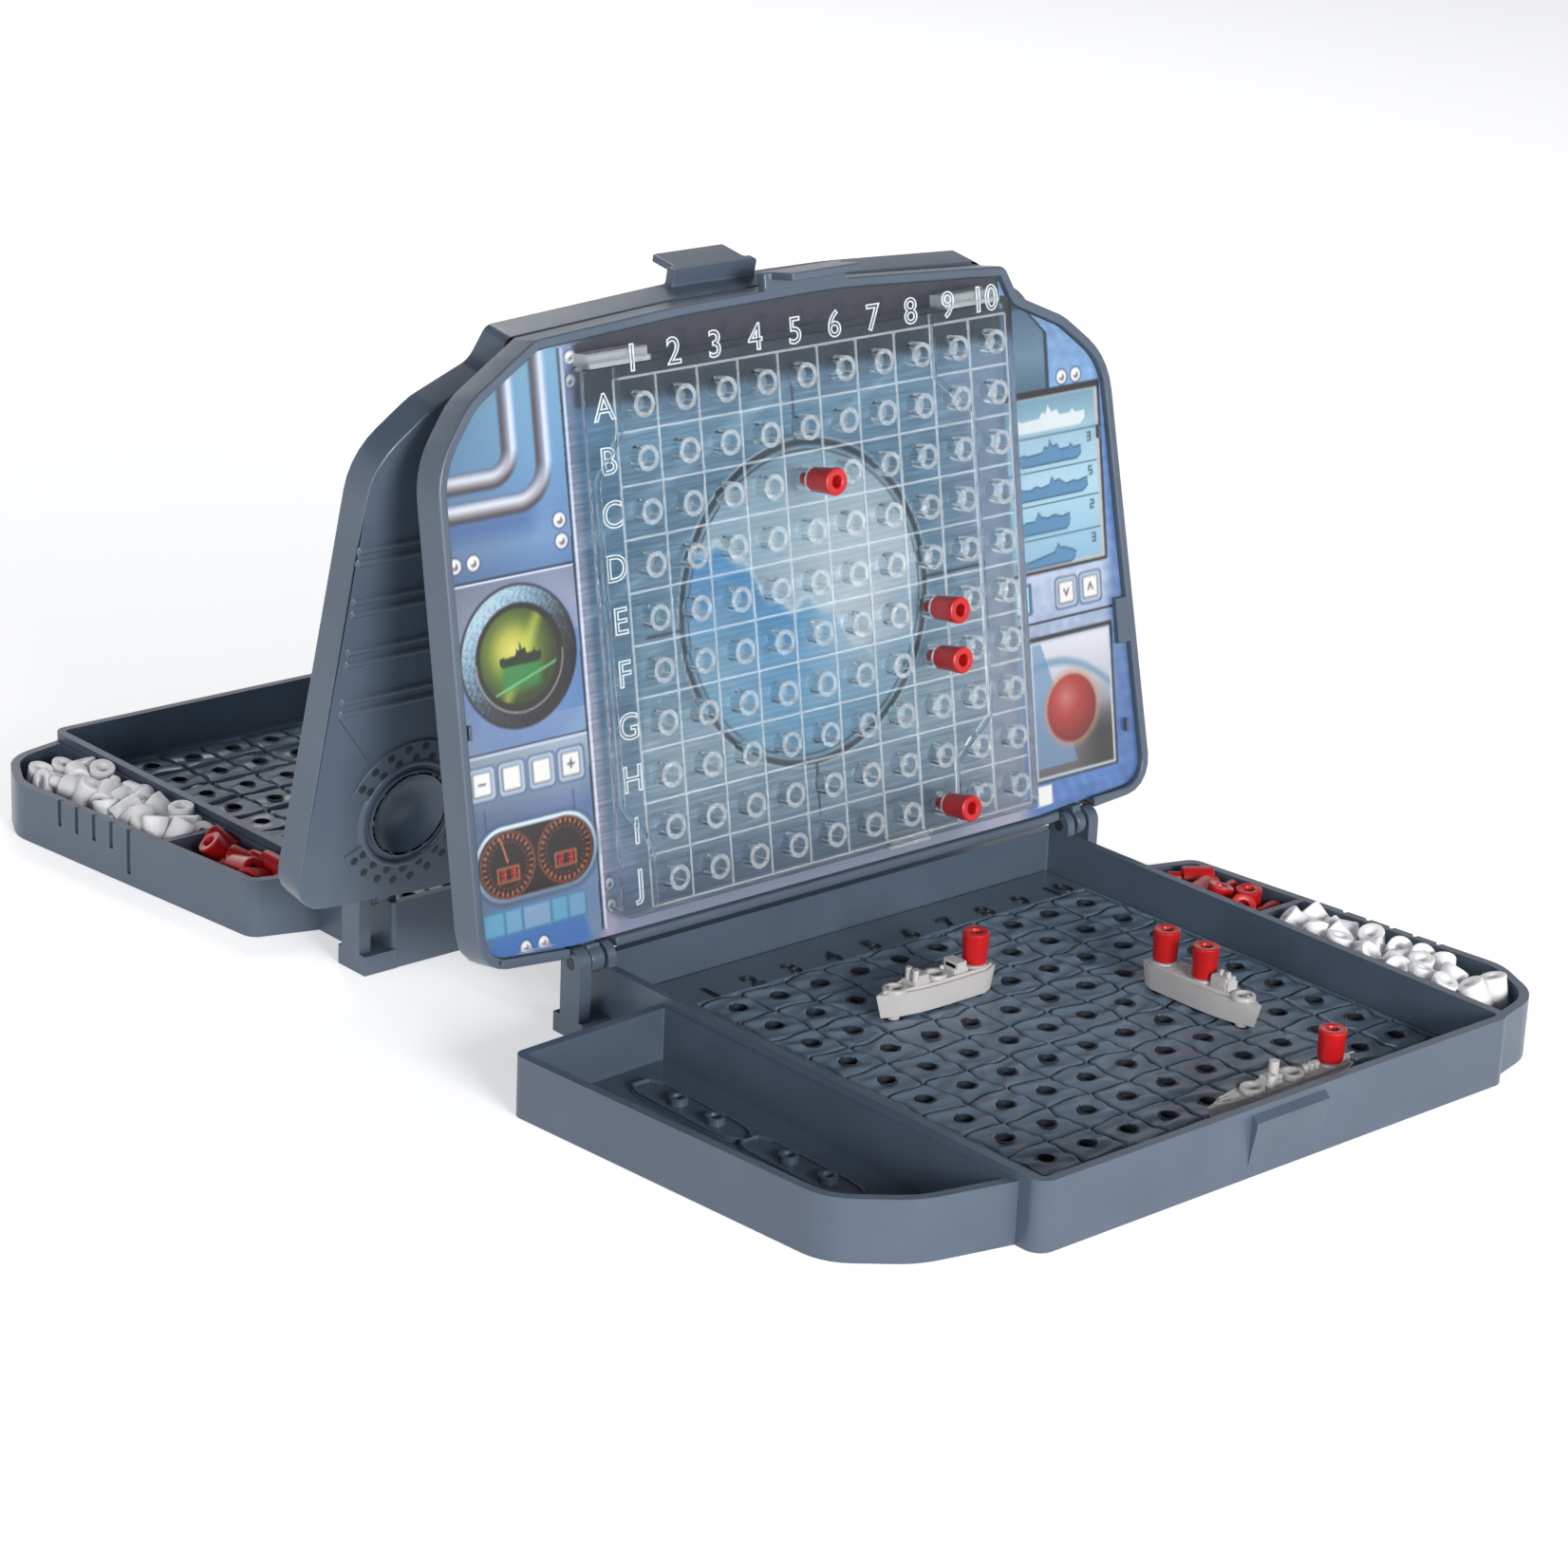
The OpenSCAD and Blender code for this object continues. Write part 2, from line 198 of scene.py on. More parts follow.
SLATE = moulded("slate_plastic", (0.059, 0.081, 0.116), (0.072, 0.098, 0.138), (0.26, 0.40))
SEA = moulded("sea_plastic", (0.112, 0.156, 0.210), (0.140, 0.192, 0.256), (0.24, 0.36), 2200, 0.25)
# near-black plastic standing for shade: painted shade in the boards' holes and on their raised grid marks
SHADE_PLASTIC = moulded("hole_shade_plastic", (0.012, 0.017, 0.026), (0.018, 0.024, 0.036), (0.4, 0.55))
# near-black plastic: the hinge pins' own colour, and painted shade in the speaker's perforations
PIN_AND_HOLE_SHADE = moulded("pin_and_hole_shade_plastic", (0.012, 0.014, 0.018), (0.02, 0.024, 0.03), (0.4, 0.55))
SHIP = moulded("ship_plastic", (0.42, 0.41, 0.41), (0.50, 0.485, 0.48), (0.36, 0.5), 2400, 0.2, 0.05)
RED = moulded("red_peg_plastic", (0.40, 0.005, 0.007), (0.50, 0.010, 0.011), (0.28, 0.42), 1800, 0.15, 0.08)
WHITE = moulded("white_peg_plastic", (0.80, 0.80, 0.81), (0.88, 0.88, 0.88), (0.3, 0.45), 1800, 0.15, 0.1)


def print_ink():
    """Printed gloss card: its picture is the mesh's colour layer, times the tooth of the paper."""
    m, t, b = nodes_of("printed_card")
    tooth = ramp(t, noise(t, 1500, 2).outputs["Fac"], [(0.3, (0.93, 0.93, 0.93)), (0.7, (1, 1, 1))])
    t.links.new(times(t, painted_layer(t, "Print"), tooth.outputs["Color"]), b.inputs["Base Color"])
    settings(b, {"Roughness": 0.28, "Coat Weight": 0.4, "Coat Roughness": 0.12})
    bump(t, b, noise(t, 900, 3).outputs["Fac"], 0.06, 0.0001)
    return m


def relief_shade_plastic():
    """The sea plastic with painted shade and light: darker in the grooves and holes, lighter where each
    cell swells up, as the mesh's relief layer marks.
    """
    m = SEA.copy()
    m.name = "sea_relief_plastic"
    t = m.node_tree
    b = t.nodes["Principled BSDF"]
    plain = b.inputs["Base Color"].links[0].from_socket
    t.links.new(times(t, plain, painted_layer(t, "ReliefShade")), b.inputs["Base Color"])
    return m


def mottled(name, scale, low, high, values, ripple=None):
    """A colour that wanders between two tones, other settings, and a ripple in the surface."""
    m, t, b = nodes_of(name)
    tone = ramp(t, noise(t, scale, 2).outputs["Fac"], [(0.3, low), (0.7, high)])
    t.links.new(tone.outputs["Color"], b.inputs["Base Color"])
    settings(b, values)
    if ripple:
        size, detail, strength, distance = ripple
        bump(t, b, noise(t, size, detail).outputs["Fac"], strength, distance)
    return m


SEA_BOARD = relief_shade_plastic()
INK = print_ink()
# lower than polystyrene's own 1.59, so that the thin sheet doesn't darken the picture behind it
CLEAR_IOR = 1.22
CLEAR = mottled("clear_polystyrene", 60, (0.86, 0.93, 0.96), (0.92, 0.97, 0.98),
    {"Transmission Weight": 1.0, "IOR": CLEAR_IOR, "Roughness": 0.04}, (240, 3, 0.12, 0.0002))
# painted highlight: light catches in the edges of the clear moulding, so they get a whiter, less clear copy
# of the sheet's material and look whiter than the sheet
CLEAR_HIGHLIGHT = mottled("clear_polystyrene_highlight", 500, (0.88, 0.93, 0.95), (0.97, 0.99, 1.0),
    {"Transmission Weight": 0.78, "IOR": CLEAR_IOR, "Roughness": 0.08, "Specular IOR Level": 0.9},
    (700, 3, 0.1, 0.0001))
FROST = mottled("frosted_mark", 900, (0.72, 0.80, 0.84), (0.86, 0.92, 0.94),
    {"Roughness": 0.35, "Transmission Weight": 0.35}, (1600, 2, 0.2, 0.0001))


# --- mesh helpers ---
def in_scene(name, data):
    o = bpy.data.objects.new(name, data)
    bpy.context.scene.collection.objects.link(o)
    return o


def moved(x, y, z=0.0):
    return Matrix.Translation((x, y, z))


def spun(degrees, axis="Z"):
    return Matrix.Rotation(math.radians(degrees), 4, axis)


def new_object(name, verts, faces, mat, smooth=True):
    me = bpy.data.meshes.new(name)
    me.from_pydata([tuple(v) for v in verts], [], [tuple(f) for f in faces])
    me.validate()
    me.update()
    o = in_scene(name, me)
    me.materials.append(mat)
    if smooth:
        me.shade_smooth()
        soften(me)
    return o


def soften(me, angle=math.radians(32)):
    """Marks sharp edges so that flats stay flat under smooth shading."""
    bm = bmesh.new()
    bm.from_mesh(me)
    for e in bm.edges:
        e.smooth = len(e.link_faces) == 2 and e.calc_face_angle(0) < angle
    bm.to_mesh(me)
    bm.free()


def place(o, matrix):
    o.data.transform(matrix)
    o.data.update()
    return o


def attach(o, body, slot, *nodes):
    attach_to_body(o, body)
    if nodes:
        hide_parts(*nodes)
    return o


class Build:
    """Collects simple closed solids, in millimetres, into one mesh."""

    def __init__(self):
        self.v, self.f = [], []

    def add(self, verts, faces, m=None):
        n = len(self.v)
        self.v += [tuple(m @ Vector(p)) if m else tuple(p) for p in verts]
        self.f += [tuple(i + n for i in f) for f in faces]

    def lathe(self, profile, steps=32, m=None, closed=False):
        """profile: (radius, height) from bottom to top; the ends are capped unless closed on itself."""
        vs, fs, k = [], [], len(profile)
        for j in range(steps):
            a = 2 * math.pi * j / steps
            vs += [(r * math.cos(a), r * math.sin(a), z) for r, z in profile]
        rows = range(k) if closed else range(k - 1)
        for j in range(steps):
            j2 = (j + 1) % steps
            for i in rows:
                i2 = (i + 1) % k
                fs.append((j * k + i, j2 * k + i, j2 * k + i2, j * k + i2))
        if not closed:
            fs.append(tuple(j * k for j in reversed(range(steps))))
            fs.append(tuple(j * k + k - 1 for j in range(steps)))
        self.add(vs, fs, m)

    def prism(self, outline, z0, z1, m=None, chamfer=0.0):
        """Extruded outline (anticlockwise) with an optional chamfered top edge."""
        n = len(outline)
        rings = [(outline, z0), (outline, z1 - chamfer)]
        if chamfer:
            rings.append((inset(outline, chamfer), z1))
        vs = [(p[0], p[1], z) for ring, z in rings for p in ring]
        fs = [tuple(reversed(range(n)))]
        for r in range(len(rings) - 1):
            for i in range(n):
                j = (i + 1) % n
                fs.append((r * n + i, r * n + j, (r + 1) * n + j, (r + 1) * n + i))
        fs.append(tuple((len(rings) - 1) * n + i for i in range(n)))
        self.add(vs, fs, m)

    def block(self, x0, y0, z0, x1, y1, z1, c=0.25, m=None):
        self.prism([(x0, y0), (x1, y0), (x1, y1), (x0, y1)], z0, z1, m, c)

    def object(self, name, mat, matrix=IN_MM):
        return place(new_object(name, self.v, self.f, mat), matrix)


def bevelled_copy(node, mat, width, segments=2, merge=True, cut=None):
    """The CAD node's own shape with its edges softened by a bevel, and cut by another object first."""
    src = NODES[node]
    me = src.data.copy()
    me.materials.clear()
    me.materials.append(mat)
    o = in_scene(node + "_moulding", me)
    bm = bmesh.new()
    bm.from_mesh(me)
    bmesh.ops.remove_doubles(bm, verts=bm.verts, dist=2e-6)
    if width and merge:
        bmesh.ops.dissolve_limit(bm, angle_limit=math.radians(1.5), verts=bm.verts, edges=bm.edges)
    for f in bm.faces:
        f.smooth = True
    bm.to_mesh(me)
    bm.free()
    if not width:
        soften(me)
        return o
    if cut:
        hole = o.modifiers.new("cut", "BOOLEAN")
        hole.operation, hole.solver, hole.object = "DIFFERENCE", "EXACT", cut
        bpy.context.view_layer.update()
        o.data = bpy.data.meshes.new_from_object(o.evaluated_get(bpy.context.evaluated_depsgraph_get()))
        o.modifiers.remove(hole)
        bpy.data.objects.remove(cut)
    mod = o.modifiers.new("edge_radius", "BEVEL")
    mod.width, mod.segments, mod.limit_method = width * MM, segments, "ANGLE"
    mod.angle_limit = math.radians(40)
    mod.harden_normals = True
    mod.use_clamp_overlap = merge
    mod.miter_outer = "MITER_ARC"
    # large faces keep their own normal, so the shading runs only over the rounded edges
    flats = o.modifiers.new("flat_faces", "WEIGHTED_NORMAL")
    flats.mode, flats.weight = "FACE_AREA", 100
    return o


# --- pegs ---
def peg_profile():
    r, h = PEG_D / 2, PEG_H
    s = STEM_D / 2
    head = [(s, 0.0), (r - 0.75, 0.0), (r - 0.5, 0.1), (r - 0.4, 0.45), (r - 0.12, h - 0.9),
            (r - 0.02, h - 0.55), (r - 0.1, h - 0.2), (r - 0.4, h), (1.9, h), (1.6, h - 0.15),
            (1.45, h - 0.5), (1.4, h - 3.2)]
    return [(s - 0.5, -STEM_L), (s - 0.12, -STEM_L + 0.5), (s, -1.0)] + head


PEG_PROFILE = peg_profile()


def add_peg(build, m, steps=28):
    build.lathe(PEG_PROFILE, steps, m)


def heap_places(box, count, seed, top):
    """Lets pegs fall into a bin: each is a head ball and a stem end a fixed distance apart."""
    rng = np.random.default_rng(seed)
    x0, x1, y0, y1, slant = box
    reach, rh, rs = 8.2, 3.4, 1.7
    a = np.column_stack([rng.uniform(x0 + 4, x1 - 4, count), rng.uniform(y0 + 4, y1 - 4, count),
        rng.uniform(8, 8 + count * 0.9, count)])
    d = rng.normal(size=(count, 3))
    d[:, 2] *= 0.35
    b = a + reach * d / np.linalg.norm(d, axis=1)[:, None]
    fracs = np.array([0.0, 0.45, 1.0])
    radii = np.tile([rh, rh * 0.92, rs], count)
    owner = np.repeat(np.arange(count), 3)
    t = np.tile(fracs, count)[:, None]
    pair = radii[:, None] + radii[None, :]
    other = owner[:, None] != owner[None, :]
    for _ in range(420):
        a[:, 2] -= 0.28
        b[:, 2] -= 0.28
        for _ in range(3):
            p = a[owner] * (1 - t) + b[owner] * t
            diff = p[:, None] - p[None, :]
            dist = np.linalg.norm(diff, axis=2) + 1e-9
            over = np.where(other, np.maximum(pair - dist, 0), 0)
            push = (diff / dist[..., None] * over[..., None] * 0.35).sum(1)
            q = p + push
            right = x1 + slant * (q[:, 1] - y0) / (y1 - y0)
            q[:, 0] = np.clip(q[:, 0], x0 + radii, right - radii)
            q[:, 1] = np.clip(q[:, 1], y0 + radii, y1 - radii)
            q[:, 2] = np.maximum(q[:, 2], FLOOR_T + radii)
            move = q - p
            for arr, wgt in ((a, 1 - t), (b, t)):
                np.add.at(arr, owner, move * wgt * 0.8)
            axis = b - a
            ln = np.linalg.norm(axis, axis=1)[:, None]
            fix = axis / ln * (ln - reach) / 2
            a += fix
            b -= fix
    # the heap stays low enough for the lid to shut over it
    a[:, 2] = np.minimum(a[:, 2], top)
    b[:, 2] = np.minimum(b[:, 2], top + 3)
    return a, b


def heap(name, mat, slot, box, count, seed, turned, body, node, top=13.4):
    build = Build()
    for a, b in zip(*heap_places(box, count, seed, top)):
        up = Vector(a - b).normalized()
        q = up.to_track_quat("Z", "Y").to_matrix().to_4x4()
        # the head's middle sits on the head ball, so the stem points at the other end
        add_peg(build, moved(*a) @ q @ moved(0, 0, -PEG_H / 2 - 0.2), 20)
    o = build.object(name, mat)
    if turned:
        place(o, TURNED)
    return attach(o, body, slot, node)


# --- ocean boards ---
GROOVE_W, GROOVE_DEPTH = 0.40, 1.5
HOLE_R, HOLE_DEPTH = 2.0, 3.4
RIM_R = 2.7


def wobble(u, v, k):
    """How far a groove wanders sideways, in millimetres."""
    return 0.55 * np.sin(2.9 * u + 1.7 * np.floor(v + 0.5) + k) + 0.3 * np.sin(6.1 * u - k * 2.3 + v)


def ocean_board(name, body, node, turned):
    """One height field: wavy grooves between the cells, a swell on each cell, a hole in each."""
    lo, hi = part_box(node)
    if turned:
        lo, hi = Vector((-hi.x, -hi.y, lo.z)), Vector((-lo.x, -lo.y, hi.z))
    x0, x1, y0, y1 = lo.x / MM, hi.x / MM, lo.y / MM, hi.y / MM
    step = 0.37
    nx, ny = int((x1 - x0) / step) + 1, int((y1 - y0) / step) + 1
    xs, ys = np.linspace(x0, x1, nx), np.linspace(y0, y1, ny)
    X, Y = np.meshgrid(xs, ys)
    # grid coordinates: whole numbers lie on the grooves, a half is a hole
    gx, gy = (X - OCEAN[0]) / CELL + 5, (Y - OCEAN[1]) / CELL + 5
    wx, wy = wobble(gy, gx, 0.4), wobble(gx, gy, 1.9)
    inside = (np.abs(X - OCEAN[0]) < 5 * CELL + 0.6) & (np.abs(Y - OCEAN[1]) < 5 * CELL + 0.6)
    dx = np.abs((gx - np.round(gx)) * CELL - wx)
    dy = np.abs((gy - np.round(gy)) * CELL - wy)
    cut = np.maximum(np.exp(-(dx / GROOVE_W) ** 2), np.exp(-(dy / GROOVE_W) ** 2)) * inside
    cx, cy = np.floor(gx), np.floor(gy)
    ph = np.sin(cx * 12.9898 + cy * 78.233) * 43758.5453
    ph = (ph - np.floor(ph)) * 2 * math.pi
    u, v = (gx - cx - 0.5), (gy - cy - 0.5)
    swell = 0.22 * np.sin(9.5 * v + 3.0 * np.sin(2.2 * u + ph) + ph) * np.exp(-2.2 * (u * u + v * v))
    swell += 0.13 * np.sin(15 * v + 5 * u * np.sin(ph) + 2 * ph) + 0.30 * v
    z = DECK_TOP - 0.42 + swell * inside
    z = np.where(inside, z, DECK_TOP - 0.3)
    edge = np.minimum(np.minimum(X - x0, x1 - X), np.minimum(Y - y0, y1 - Y))
    z = z - GROOVE_DEPTH * cut
    hx, hy = (gx - np.floor(gx) - 0.5) * CELL, (gy - np.floor(gy) - 0.5) * CELL
    r = np.hypot(hx, hy)
    z = np.where(inside & (r < HOLE_R + 0.3), DECK_TOP - HOLE_DEPTH - 0.2, z)
    z = np.minimum(z, DECK_TOP - 0.02)
    hole = np.where(inside & (r < HOLE_R + 0.5), 1, 0)
    # painted shade darkens the grooves and holes, and painted light brightens each cell where its swell
    # rises (darker where it dips); the strip round the grid is darker
    shade = 1 - 0.85 * np.minimum(1.25 * cut, 1) - 0.9 * hole + 0.5 * swell * inside
    shade = np.clip(shade * np.where(inside, 1, 0.70), 0.08, 1.2)
    z = np.where(edge < 0.3, DECK_TOP - 0.8, z)
    verts = np.column_stack([X.ravel(), Y.ravel(), z.ravel()])
    idx, quads = grid_quads(nx, ny)
    # a skirt and an underside close the board
    rim = list(idx[0, :]) + list(idx[1:, -1]) + list(idx[-1, -2::-1]) + list(idx[-2:0:-1, 0])
    base = len(verts)
    low = verts[rim].copy()
    low[:, 2] = FLOOR_T + 0.02
    verts = np.vstack([verts, low])
    m = len(rim)
    faces = quads.tolist() + [(rim[i], base + i, base + (i + 1) % m, rim[(i + 1) % m]) for i in range(m)]
    faces.append([base + i for i in reversed(range(m))])
    o = new_object(name, verts, faces, SEA_BOARD, smooth=False)
    o.data.shade_smooth()
    layer = o.data.color_attributes.new("ReliefShade", "FLOAT_COLOR", "POINT")
    tone = np.concatenate([shade.ravel(), np.ones(m)])
    layer.data.foreach_set("color", np.column_stack([tone, tone, tone, np.ones(len(tone))]).ravel())
    place(o, on_case(IN_MM, turned))
    attach(o, body, "sea", node)
    # a lipped tube lines every hole, in near-black plastic: painted shade
    b, top = Build(), DECK_TOP - 0.30
    tube = [(HOLE_R, top - HOLE_DEPTH), (HOLE_R, top - 0.1), (HOLE_R + 0.08, top),
        (HOLE_R + 0.28, top - 0.04), (RIM_R, top - 0.5), (RIM_R, top - HOLE_DEPTH)]
    for c in range(N):
        for k in range(N):
            b.lathe(tube, 26, moved(*board_xy(c + 1, k)), True)
    return attach(b.object(name + "_bores", SHADE_PLASTIC, on_case(IN_MM, turned)), body, "sea")


def mark(text, size, line, x, y, z):
    """A number or letter of the grid, drawn as a tube of radius line along its outline."""
    cu = bpy.data.curves.new("mark", "FONT")
    cu.body, cu.size, cu.align_x, cu.align_y = text, size, "CENTER", "CENTER"
    cu.resolution_u = 4
    cu.fill_mode, cu.bevel_depth, cu.bevel_resolution = "NONE", line, 2
    o = in_scene("mark", cu)
    bpy.context.view_layer.update()
    me = bpy.data.meshes.new_from_object(o.evaluated_get(bpy.context.evaluated_depsgraph_get()))
    bpy.data.objects.remove(o)
    me.transform(moved(x, y, z))
    return me


def joined(name, meshes, mat, matrix):
    bm = bmesh.new()
    for me in meshes:
        bm.from_mesh(me)
        bpy.data.meshes.remove(me)
    me = bpy.data.meshes.new(name)
    bm.to_mesh(me)
    bm.free()
    me.materials.clear()
    me.materials.append(mat)
    o = in_scene(name, me)
    me.shade_smooth()
    soften(me)
    return place(o, matrix)


LETTERS = "ABCDEFGHIJ"


def grid_marks(place_of, cell, up, left, size, line, z):
    """Numbers above the columns and letters left of the rows; up and left are in cells."""
    x0, y0 = place_of(1, 0)
    out = []
    for i in range(N):
        out.append(mark(str(i + 1), size, line, place_of(i + 1, 0)[0], y0 + up * cell, z))
        out.append(mark(LETTERS[i], size, line, x0 - left * cell, place_of(1, i)[1], z))
    return out


def board_marks(name, body, turned):
    # the raised numbers and letters are near-black: painted shade
    out = grid_marks(board_xy, CELL, 0.76, 0.82, 8.0, 0.26, DECK_TOP - 0.12)
    attach(joined(name, out, SHADE_PLASTIC, on_case(IN_MM, turned)), body, "sea")


# --- printed card ---
class Picture:
    """Soft-edged shapes laid one over another on card points X, B (millimetres); colours are sRGB."""

    def __init__(self, X, B):
        self.X, self.B = X, B
        self.c = np.zeros(X.shape + (3,))

    def lay(self, mask, colour):
        self.c += np.clip(mask, 0, 1)[..., None] * (np.asarray(colour, float) - self.c)

    @staticmethod
    def near(d, soft=0.5):
        return np.clip(0.5 - d / soft, 0, 1)

    def disc(self, x, b, r, soft=0.5):
        return self.near(np.hypot(self.X - x, self.B - b) - r, soft)

    def ring(self, x, b, r, w):
        return self.near(np.abs(np.hypot(self.X - x, self.B - b) - r) - w / 2)

    def panel(self, x0, b0, x1, b1, r=0.0, soft=0.5):
        dx = np.abs(self.X - (x0 + x1) / 2) - (x1 - x0) / 2 + r
        db = np.abs(self.B - (b0 + b1) / 2) - (b1 - b0) / 2 + r
        d = np.hypot(np.maximum(dx, 0), np.maximum(db, 0)) + np.minimum(np.maximum(dx, db), 0) - r
        return self.near(d, soft)

    def stroke(self, x0, b0, x1, b1, w, soft=0.45):
        ux, ub = x1 - x0, b1 - b0
        t = np.clip(((self.X - x0) * ux + (self.B - b0) * ub) / (ux * ux + ub * ub + 1e-9), 0, 1)
        return self.near(np.hypot(self.X - x0 - t * ux, self.B - b0 - t * ub) - w / 2, soft)

    def fade(self, values, stops):
        """Colour looked up along a field of values."""
        at = [s[0] for s in stops]
        return np.stack([np.interp(values, at, [s[1][k] for s in stops]) for k in range(3)], -1)

    def rivet(self, x, b, r=1.75):
        self.lay(self.disc(x, b, r + 0.35), (0.20, 0.25, 0.34))
        self.lay(self.disc(x, b, r), (0.86, 0.87, 0.90))
        self.lay(self.disc(x + 0.1, b - 0.15, r * 0.5), (0.42, 0.40, 0.40))
        self.lay(self.disc(x - 0.25, b + 0.35, r * 0.28), (0.97, 0.97, 0.97))

    def key(self, x, b, mark):
        self.lay(self.panel(x - 4.2, b - 4.4, x + 4.2, b + 4.2, 1.4), (0.30, 0.38, 0.50))
        self.lay(self.panel(x - 3.7, b - 3.9, x + 3.7, b + 3.8, 1.2), (0.62, 0.68, 0.76))
        self.lay(self.panel(x - 2.9, b - 3.0, x + 2.7, b + 2.9, 0.7), (0.38, 0.42, 0.46))
        self.lay(self.panel(x - 2.4, b - 2.6, x + 2.4, b + 2.6, 0.4), (0.86, 0.86, 0.85))
        for line in mark:
            self.lay(self.stroke(*(v + (x, b)[i % 2] for i, v in enumerate(line)), 0.45),
                (0.25, 0.25, 0.28))

    def digit(self, x, b, h, n, colour, w=0.4):
        """Seven-stroke figure n with its middle at x, b."""
        k, g = h / 2, h * 0.27
        seg = [(-g, k, g, k), (g, k, g, 0), (g, 0, g, -k), (-g, -k, g, -k), (-g, 0, -g, -k),
            (-g, k, -g, 0), (-g, 0, g, 0)]
        for i in {2: (0, 1, 6, 4, 3), 3: (0, 1, 6, 2, 3), 5: (0, 5, 6, 2, 3), 1: (1, 2)}[n]:
            p = seg[i]
            self.lay(self.stroke(p[0] + x, p[1] + b, p[2] + x, p[3] + b, w, 0.35), colour)

    def silhouette(self, x, b, length, tops, fill, line, depth=1.9):
        """A ship seen from the side: heights of the superstructure along the deck over a hull."""
        u = (self.X - x) / length
        top = np.interp(u, [p[0] for p in tops], [p[1] for p in tops], left=-9, right=-9)
        keel = -depth * np.clip(np.minimum((u + 0.50) / 0.05, (0.51 - u) / 0.09), 0, 1) ** 0.6
        d = np.maximum(self.B - b - top, keel - (self.B - b))
        self.lay(self.near(d - 0.25, 0.4), line)
        self.lay(self.near(d + 0.12, 0.4), fill)


# heights of four ships' upper works along the deck, which runs from -0.5 to 0.5
FLEET = [[(-.5, .6), (-.4, .9), (-.36, .5), (-.12, .8), (-.08, 2.3), (-.03, 1.7), (0, 3.9), (.05, 2.0),
    (.12, 2.4), (.16, .9), (.3, 1.0), (.33, 1.9), (.38, .8), (.5, 1.0)],
    [(-.5, .3), (-.4, .9), (-.3, .5), (-.2, 1.2), (-.14, .6), (-.03, 1.1), (0, 3.0), (.05, 1.7), (.1, 2.1),
    (.2, .6), (.3, 1.0), (.36, .7), (.5, 1.3)], [(-.5, .2), (-.36, 1.2), (-.2, 1.0), (-.12, 3.2),
    (-.06, 1.9), (.06, 1.4), (.2, 1.9), (.34, 1.1), (.5, 1.6)], [(-.5, -.6), (-.3, -.4), (0, .5),
    (.14, 1.0), (.2, 3.1), (.24, 2.0), (.34, 1.6), (.46, .6), (.5, .1)], ]


def grain(X, B, size, seed):
    """Smooth repeatable noise on the card, about -1 to 1."""
    rng = np.random.default_rng(seed)
    out = np.zeros(X.shape)
    for k in range(7):
        a, ph = rng.uniform(0, math.pi, 1)[0], rng.uniform(0, 6.28, 1)[0]
        f = rng.uniform(0.6, 1.8, 1)[0] / size
        out += np.sin((X * math.cos(a) + B * math.sin(a)) * f * 6.28 + ph + 1.5 * np.sin(B * f * 2.1 + k))
    return out / 3.2


